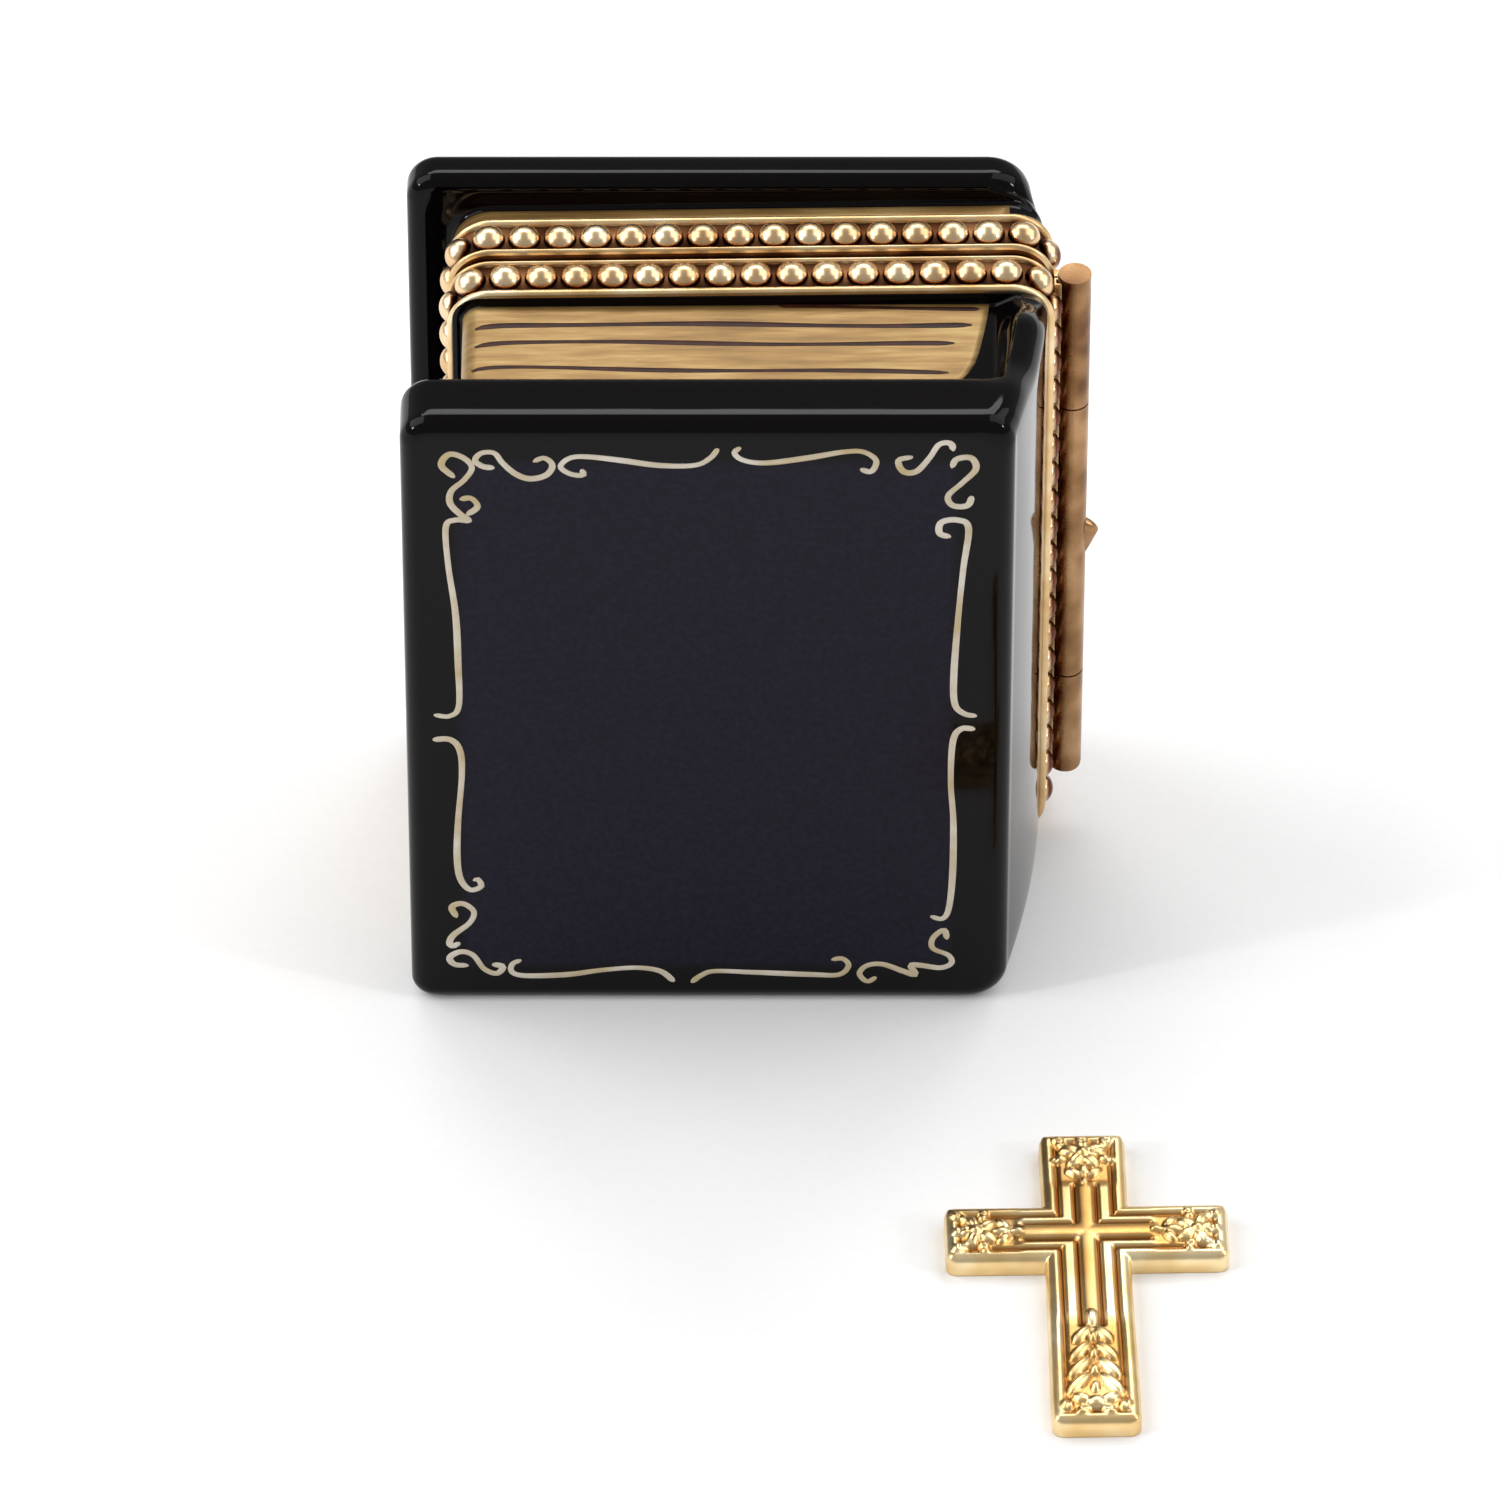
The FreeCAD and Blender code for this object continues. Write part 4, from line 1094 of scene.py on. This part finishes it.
def make_beading(name, middle_y, first, lift, body, node):
    """One row of beads round a band, left open under the clasp."""
    sizes = bpy.context.scene.prayer_mounts
    clasp_low, clasp_high = box_mm("clasp_tongue")
    around = rim_length()
    count = round(around / (sizes.bead_pitch / MM))
    sunk = 0.06
    stands_off = sizes.bead_height / MM + sunk
    clear_of_table = 0.02
    places, outwards = [], []
    for index in range(count):
        (x, z), outward = rim_position((first + index * around / count) % around, -sunk)
        if outward[0] < -0.99 and clasp_low[2] - 0.9 < z < clasp_high[2] + 0.9:
            continue
        x, z = risen(np.array([[x, z]]), HEAD_RISE, lift)[0]
        z = max(z, clear_of_table - outward[1] * stands_off)
        places.append((x * MM, middle_y * MM, z * MM))
        outwards.append((outward[0], 0.0, outward[1]))
    mesh = bpy.data.meshes.new(name)
    mesh.from_pydata(places, [], [])
    attribute = mesh.attributes.new("outward", "FLOAT_VECTOR", "POINT")
    attribute.data.foreach_set("vector", np.array(outwards, np.float32).ravel())
    piece = bpy.data.objects.new(name, mesh)
    bpy.context.scene.collection.objects.link(piece)
    tree = bpy.data.node_groups.get("beading_row") or bead_tree(sizes.bead_radius, sizes.bead_height)
    modifier = piece.modifiers.new("beads", "NODES")
    modifier.node_group = tree
    sockets = {item.name: item.identifier for item in tree.interface.items_tree if item.in_out == "INPUT"}
    modifier[sockets["Radius"]] = sizes.bead_radius
    modifier[sockets["Height"]] = stands_off * MM
    bake_modifiers(piece)
    finish_piece(piece, body, "gilt_brass", node)


class BOOK_OT_mounts(bpy.types.Operator):
    """Make the two gilt strips and their beading"""
    bl_idname = "prayer_book.mounts"
    bl_label = "Gilt mounts"

    def execute(self, context):
        rounded_strip("front_mount", mount_profile(FRONT_SEAM, FRONT_MATE, -WALL), 0.0, FRONT, "front_bezel")
        back_profile = mount_profile(BACK_SEAM, BACK_MATE, -WALL + COLLAR + 0.15)
        rounded_strip("back_mount", back_profile, LID_LIFT, BACK, "back_bezel")
        width = abs(FRONT_MATE - FRONT_SEAM)
        channel = (OUTER_LIP + width - MATING_LIP) / 2
        make_beading("front_beads", FRONT_SEAM + channel + 0.08, 3.14 - MIDDLE, 0.0, FRONT, "front_beading")
        make_beading("back_beads", BACK_SEAM - channel, 4.31 - MIDDLE, LID_LIFT, BACK, "back_beading")
        repaint("inner_collar", "polished_gilt_brass")
        return {"FINISHED"}


# ---------------------------------------------------------------- hinge


def make_lug():
    """The lug that stops the hinge: a small nib whose tip is near its upper end."""
    low, high = box_mm("hinge_stop_lug")
    root = BARREL[0][0] + (BARREL[1][0] - BARREL[0][0]) * 0.66
    middle_y = (low[1] + high[1]) / 2
    half_depth = (high[1] - low[1]) / 2
    tip = 0.70
    rings = []
    rows, around = 24, 20
    for row in range(rows + 1):
        share = row / rows
        if share < tip:
            bulge = (share / tip) ** 0.75
        else:
            bulge = math.cos((share - tip) / (1 - tip) * math.pi / 2) ** 0.7
        reach = 0.02 + (high[0] - root - 0.02) * max(bulge, 0.0)
        depth = half_depth * (0.35 + 0.65 * max(bulge, 0.0) ** 0.6)
        height = low[2] + (high[2] - low[2]) * share
        angles = 2 * math.pi * np.arange(around) / around
        rings.append(np.column_stack([root + reach * np.cos(angles), middle_y + depth * np.sin(angles),
                                      np.full(around, height)]))
    piece = new_piece("stop_lug", *loft(rings), ["gilt_hinge_tube"])
    face_outwards(piece)
    finish_piece(piece, BACK, "hinge_brass", "hinge_stop_lug")


class BOOK_OT_hinge(bpy.types.Operator):
    """Finish the hinge's knuckles, pin, bearers and lug"""
    bl_idname = "prayer_book.hinge"
    bl_label = "Hinge"

    def execute(self, context):
        for node in ("upper_hinge_knuckle", "lower_hinge_knuckle", "middle_hinge_knuckle", "hinge_pin"):
            repaint(node, "gilt_hinge_tube")
        for node in ("front_hinge_bearer", "back_hinge_bearer"):
            repaint(node, "polished_gilt_brass")
        make_lug()
        return {"FINISHED"}


def repaint(node, finish):
    """Give a CAD node its finish."""
    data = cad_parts[node].data
    data.materials.clear()
    data.materials.append(material(finish))


class BOOK_OT_clasp(bpy.types.Operator):
    """Finish the clasp's tongue and stud"""
    bl_idname = "prayer_book.clasp"
    bl_label = "Clasp"

    def execute(self, context):
        repaint("clasp_tongue", "polished_gilt_brass")
        repaint("clasp_stud", "polished_gilt_brass")
        return {"FINISHED"}


# ---------------------------------------------------------------- cross


# The cross in its own plane, in millimetres: right, and up towards its head, from where the bars cross.
CROSS_MIDDLE = (24.0, -36.15)
CROSS_TURN = math.radians(1.2)
UPRIGHT, ARM = 2.7, 2.45
ARM_REACH, CROSS_HEAD, CROSS_FOOT = 8.95, 8.95, -16.95
RIB_UP, RIB_ACROSS = 0.68, 0.72
EDGE_GROOVE, GROOVE_WIDTH, GROOVE_DEPTH = 0.98, 0.13, 0.28

# Leaves as middle right, middle up, turn in degrees, half length, half width, height.
FLOWER = (
    (0.0, 7.75, 90, 0.72, 0.42, 1.0), (0.72, 7.2, 20, 0.72, 0.42, 0.95), (-0.72, 7.2, 160, 0.72, 0.42, 0.95),
    (0.48, 6.35, -55, 0.70, 0.40, 0.9), (-0.48, 6.35, -125, 0.70, 0.40, 0.9), (0.0, 7.0, 0, 0.42, 0.42, 1.25),
    (1.42, 7.95, 60, 0.66, 0.32, 0.8), (-1.42, 7.95, 120, 0.66, 0.32, 0.8), (1.50, 6.5, -20, 0.50, 0.28, 0.7),
    (-1.50, 6.5, 200, 0.50, 0.28, 0.7), (0.0, 5.45, 90, 0.62, 0.30, 0.85), (0.66, 5.25, 40, 0.55, 0.27, 0.75),
    (-0.66, 5.25, 140, 0.55, 0.27, 0.75), (0.0, 4.45, 90, 0.42, 0.24, 0.7),
)


def foot_leaves(pairs):
    """Pairs of leaves that widen down the foot, over a flower at the end."""
    leaves = [(0.0, -8.0, 90, 0.75, 0.34, 0.9)]
    for index in range(pairs):
        up = -9.35 - 1.45 * index
        out = 0.62 + 0.13 * index
        half = 0.86 + 0.10 * index
        leaves += [(out, up, -52, half, 0.36, 0.95), (-out, up, -128, half, 0.36, 0.95)]
        leaves.append((0.0, up - 0.25, 90, 0.42, 0.24, 1.0))
    leaves += [(0.0, -15.35, 90, 0.55, 0.55, 1.15), (0.85, -15.0, 30, 0.62, 0.36, 0.9),
               (-0.85, -15.0, 150, 0.62, 0.36, 0.9), (0.75, -15.95, -30, 0.55, 0.3, 0.8),
               (-0.75, -15.95, 210, 0.55, 0.3, 0.8), (1.75, -15.55, 80, 0.5, 0.3, 0.8),
               (-1.75, -15.55, 100, 0.5, 0.3, 0.8)]
    return leaves


def cross_leaves(pairs):
    """Every leaf on the cross: the flower at the head and at both arms, and the foot's spray."""
    leaves = list(FLOWER) + foot_leaves(pairs)
    for side in (-1, 1):
        for right, up, turn, length, width, height in FLOWER:
            leaves.append((side * up, -side * right * 0.92, turn - 90 * side, length, width * 0.95, height))
    return leaves


def cross_relief(x, y, sizes):
    """Height of the cast top over its plane, and how polished it is: 0 in a groove, 1 on a leaf."""
    in_upright = np.minimum(UPRIGHT - np.abs(x), np.minimum(CROSS_HEAD - y, y - CROSS_FOOT))
    in_arms = np.minimum(ARM_REACH - np.abs(x), ARM - np.abs(y))
    inside = np.clip(np.maximum(in_upright, in_arms), 0, None)
    height = 1.02 + 0.50 * np.sqrt(1 - (1 - np.clip(inside / 0.7, 0, 1)) ** 2)
    polish = 0.72 + 0.15 * smooth_step(1 - inside / 0.9)
    spray = np.maximum(smooth_step((y - 3.9) / 0.8), smooth_step((-7.2 - y) / 1.2))
    spray = np.maximum(spray, smooth_step((np.abs(x) - 3.9) / 0.8))
    rim_groove = np.exp(-((inside - EDGE_GROOVE) / GROOVE_WIDTH) ** 2) * (1 - 0.45 * spray)
    upright_groove = (np.exp(-((np.abs(x) - RIB_UP) / GROOVE_WIDTH) ** 2)
                      * smooth_step((np.abs(y) - 0.6) / 0.25)
                      * smooth_step((4.4 - y) / 0.4) * smooth_step((y + 8.6) / 0.4))
    arm_groove = (np.exp(-((np.abs(y) - RIB_ACROSS) / GROOVE_WIDTH) ** 2)
                  * smooth_step((np.abs(x) - 0.6) / 0.25)
                  * smooth_step((4.3 - np.abs(x)) / 0.4))
    groove = np.clip(np.maximum(rim_groove, np.maximum(upright_groove, arm_groove)), 0, 1)
    rib = np.maximum((np.abs(x) < RIB_UP) * (1 - (x / RIB_UP) ** 2) * (np.abs(y) < 9),
                     (np.abs(y) < RIB_ACROSS) * (1 - (y / RIB_ACROSS) ** 2) * (np.abs(x) < 4.6))
    height = height - GROOVE_DEPTH * groove + 0.10 * rib * (1 - spray)
    polish = polish * (1 - 0.85 * groove) - 0.26 * rib
    relief = sizes.relief / MM
    leaf_height = np.zeros_like(x)
    for right, up, turn, length, width, tall in cross_leaves(sizes.leaf_count):
        cos, sin = math.cos(math.radians(turn)), math.sin(math.radians(turn))
        along = ((x - right) * cos + (y - up) * sin) / (1.04 * length)
        across = ((y - up) * cos - (x - right) * sin) / (1.12 * width)
        dome = np.sqrt(np.clip(1 - along ** 2 - across ** 2, 0, 1))
        vein = 0.32 * np.exp(-(across / 0.16) ** 2) * (length > 1.2 * width)
        leaf_height = np.maximum(leaf_height, relief * tall * dome * (1 - vein))
    sunk = 0.10 * spray * smooth_step((inside - 0.5) / 0.4)
    height = height - sunk * (leaf_height <= 0) + leaf_height
    ground = polish * (1 - 0.35 * spray * smooth_step((inside - 0.6) / 0.4))
    polish = np.where(leaf_height > 0, 0.40 + 0.60 * leaf_height / relief, ground)
    return height, np.clip(polish, 0, 1)


def cast_outline(x, y):
    """Round the ends' corners and flare the bars a little, as the wax was finished by hand."""
    radius = 0.75
    for reach_x, low_y, high_y in ((UPRIGHT, CROSS_FOOT, CROSS_HEAD), (ARM_REACH, -ARM, ARM)):
        over_x = np.clip((np.abs(x) - (reach_x - radius)) / radius, 0, 1)
        inner = np.abs(x) <= reach_x + 1e-6
        for edge, side in ((high_y, 1), (low_y, -1)):
            over_y = np.clip((side * (y - edge) + radius) / radius, 0, 1)
            near = inner & (over_x > 0) & (over_y > 0) & (side * (y - edge) <= 1e-6)
            if reach_x == UPRIGHT:
                near = near & (np.abs(y) > ARM + 1)
            else:
                near = near & (np.abs(x) > UPRIGHT + 1)
            new_x = np.sign(x) * (reach_x - radius + radius * over_x * np.sqrt(1 - over_y ** 2 / 2))
            new_y = edge + side * (-radius + radius * over_y * np.sqrt(1 - over_x ** 2 / 2))
            x, y = np.where(near, new_x, x), np.where(near, new_y, y)
    flare = 1 + 0.035 * smooth_step((np.abs(y) - 4) / 12)
    return x * np.where(np.abs(x) <= UPRIGHT + 0.1, flare, 1), y


class BOOK_OT_cross(bpy.types.Operator):
    """Make the cast gilt cross with its leaves and grooves"""
    bl_idname = "prayer_book.cross"
    bl_label = "Cross"

    def execute(self, context):
        step = 0.11
        columns = graded((-ARM_REACH, -UPRIGHT, UPRIGHT, ARM_REACH), step)
        rows = graded((CROSS_FOOT, -ARM, ARM, CROSS_HEAD), step)
        grid_x, grid_y = np.meshgrid(columns, rows)
        height, polish = cross_relief(grid_x, grid_y, context.scene.prayer_cross)
        cast_x, cast_y = cast_outline(grid_x, grid_y)
        index = np.full(grid_x.shape, -1)
        verts, values, faces = [], [], []
        for row in range(len(rows) - 1):
            for column in range(len(columns) - 1):
                mid_x = (columns[column] + columns[column + 1]) / 2
                mid_y = (rows[row] + rows[row + 1]) / 2
                if abs(mid_x) > UPRIGHT and abs(mid_y) > ARM:
                    continue
                corners = ((row, column), (row, column + 1), (row + 1, column + 1), (row + 1, column))
                for corner in corners:
                    if index[corner] < 0:
                        index[corner] = len(verts)
                        verts.append((cast_x[corner], cast_y[corner], height[corner]))
                        values.append(polish[corner])
                faces.append(tuple(int(index[corner]) for corner in corners))
        cos, sin = math.cos(CROSS_TURN), math.sin(CROSS_TURN)
        placed = [(CROSS_MIDDLE[0] + x * cos - y * sin, CROSS_MIDDLE[1] + x * sin + y * cos, z)
                  for x, y, z in verts]
        piece = new_piece("cast_cross", placed, faces, ["cast_gilt_cross"])
        attribute = piece.data.attributes.new("polish", "FLOAT", "POINT")
        attribute.data.foreach_set("value", np.array(values, np.float32))
        wall_down(piece, (0.55, 0.10, 0.0))
        face_outwards(piece)
        finish_piece(piece, CROSS, "gilt_cross", "cross")
        return {"FINISHED"}


def graded(stops, step):
    """Even steps between each two stops."""
    parts = [np.linspace(low, high, max(int(round((high - low) / step)), 1), endpoint=False)
             for low, high in zip(stops, stops[1:])]
    return np.concatenate(parts + [[stops[-1]]])


def wall_down(piece, heights):
    """Carry a sheet's border down to each height and close the bottom."""
    with edited(piece) as edit:
        border = [edge for edge in edit.edges if edge.is_boundary]
        for height in heights:
            made = bmesh.ops.extrude_edge_only(edit, edges=border)["geom"]
            for vert in (item for item in made if isinstance(item, bmesh.types.BMVert)):
                vert.co.z = height * MM
            border = [item for item in made if isinstance(item, bmesh.types.BMEdge) and item.is_boundary]
        bmesh.ops.contextual_create(edit, geom=border)
        bmesh.ops.recalc_face_normals(edit, faces=edit.faces)
        for face in edit.faces:
            face.smooth = len(face.verts) <= 4


# ---------------------------------------------------------------- stage


def area_light(name, place, aim, size, power):
    """A soft white rectangular light; places and sizes in metres, power in watts."""
    data = bpy.data.lights.new(name, "AREA")
    data.shape = "RECTANGLE"
    data.size, data.size_y = size
    data.energy = power
    lamp = bpy.data.objects.new(name, data)
    lamp.location = place
    lamp.rotation_euler = (Vector(aim) - Vector(place)).to_track_quat("-Z", "Y").to_euler()
    bpy.context.scene.collection.objects.link(lamp)


class BOOK_OT_stage(bpy.types.Operator):
    """Set the paper sweep, the lights and the camera"""
    bl_idname = "prayer_book.stage"
    bl_label = "Stage"

    def execute(self, context):
        sizes = context.scene.prayer_stage
        half = 3.0
        world_light = 0.42
        mesh = bpy.data.meshes.new("paper_sweep")
        corners = [(-half, -half, 0), (half, -half, 0), (half, half, 0), (-half, half, 0)]
        mesh.from_pydata(corners, [], [(0, 1, 2, 3)])
        mesh.materials.append(material("white_studio_paper"))
        floor = bpy.data.objects.new("paper_sweep", mesh)
        bpy.context.scene.collection.objects.link(floor)
        world = bpy.data.worlds.new("studio")
        world.use_nodes = True
        sky = world.node_tree.nodes["Background"]
        sky.inputs["Color"].default_value = (1.0, 1.0, 1.0, 1.0)
        sky.inputs["Strength"].default_value = world_light
        context.scene.world = world
        middle = (0, 0, 0.02)
        for name, place, size, power in (
            ("left_softbox", (-0.78, 0.08, 0.74), (0.9, 0.9), 7.2),
            ("right_softbox", (0.74, 0.10, 0.80), (0.9, 0.9), 4.6),
            ("back_softbox", (0.0, 0.76, 0.97), (1.2, 0.30), 6.8),
            ("left_window", (-0.92, -0.32, 0.42), (0.05, 0.10), 1.9),
            ("right_window", (0.92, -0.32, 0.42), (0.05, 0.10), 1.5),
        ):
            area_light(name, place, middle, size, power)
        camera_data = bpy.data.cameras.new("camera")
        camera_data.lens = sizes.lens
        camera_data.sensor_width = 36.0
        camera_data.clip_start = 0.01
        camera = bpy.data.objects.new("camera", camera_data)
        aim = Vector((2.77 * MM, PARTING * MM, 4.79 * MM))
        back = Vector((0, -math.cos(sizes.elevation), math.sin(sizes.elevation)))
        camera.location = aim + back * sizes.distance
        camera.rotation_euler = (math.pi / 2 - sizes.elevation, 0, 0)
        context.scene.collection.objects.link(camera)
        context.scene.camera = camera
        context.scene.view_settings.view_transform = "Standard"
        return {"FINISHED"}


# ---------------------------------------------------------------- panel and run


class BOOK_PT_prayer_book(bpy.types.Panel):
    """Lists the prayer book's pieces"""
    bl_idname = "BOOK_PT_prayer_book"
    bl_label = "Prayer Book"
    bl_space_type = "VIEW_3D"
    bl_region_type = "UI"
    bl_category = "Prayer Book"

    def draw(self, context):
        for operator in OPERATORS:
            self.layout.operator(operator.bl_idname)


OPERATORS = (
    BOOK_OT_stage,
    BOOK_OT_front_shell,
    BOOK_OT_back_shell,
    BOOK_OT_gilt_pages,
    BOOK_OT_painted_border,
    BOOK_OT_mounts,
    BOOK_OT_hinge,
    BOOK_OT_clasp,
    BOOK_OT_cross,
)


def register():
    for name, group in SETTINGS.items():
        bpy.utils.register_class(group)
        setattr(bpy.types.Scene, name, bpy.props.PointerProperty(type=group))
    for operator in OPERATORS:
        bpy.utils.register_class(operator)
    bpy.utils.register_class(BOOK_PT_prayer_book)


def unregister():
    bpy.utils.unregister_class(BOOK_PT_prayer_book)
    for operator in reversed(OPERATORS):
        bpy.utils.unregister_class(operator)
    for name, group in SETTINGS.items():
        delattr(bpy.types.Scene, name)
        bpy.utils.unregister_class(group)


def main():
    register()
    for operator in OPERATORS:
        group, action = operator.bl_idname.split(".")
        getattr(getattr(bpy.ops, group), action)()


if __name__ == "__main__":
    main()
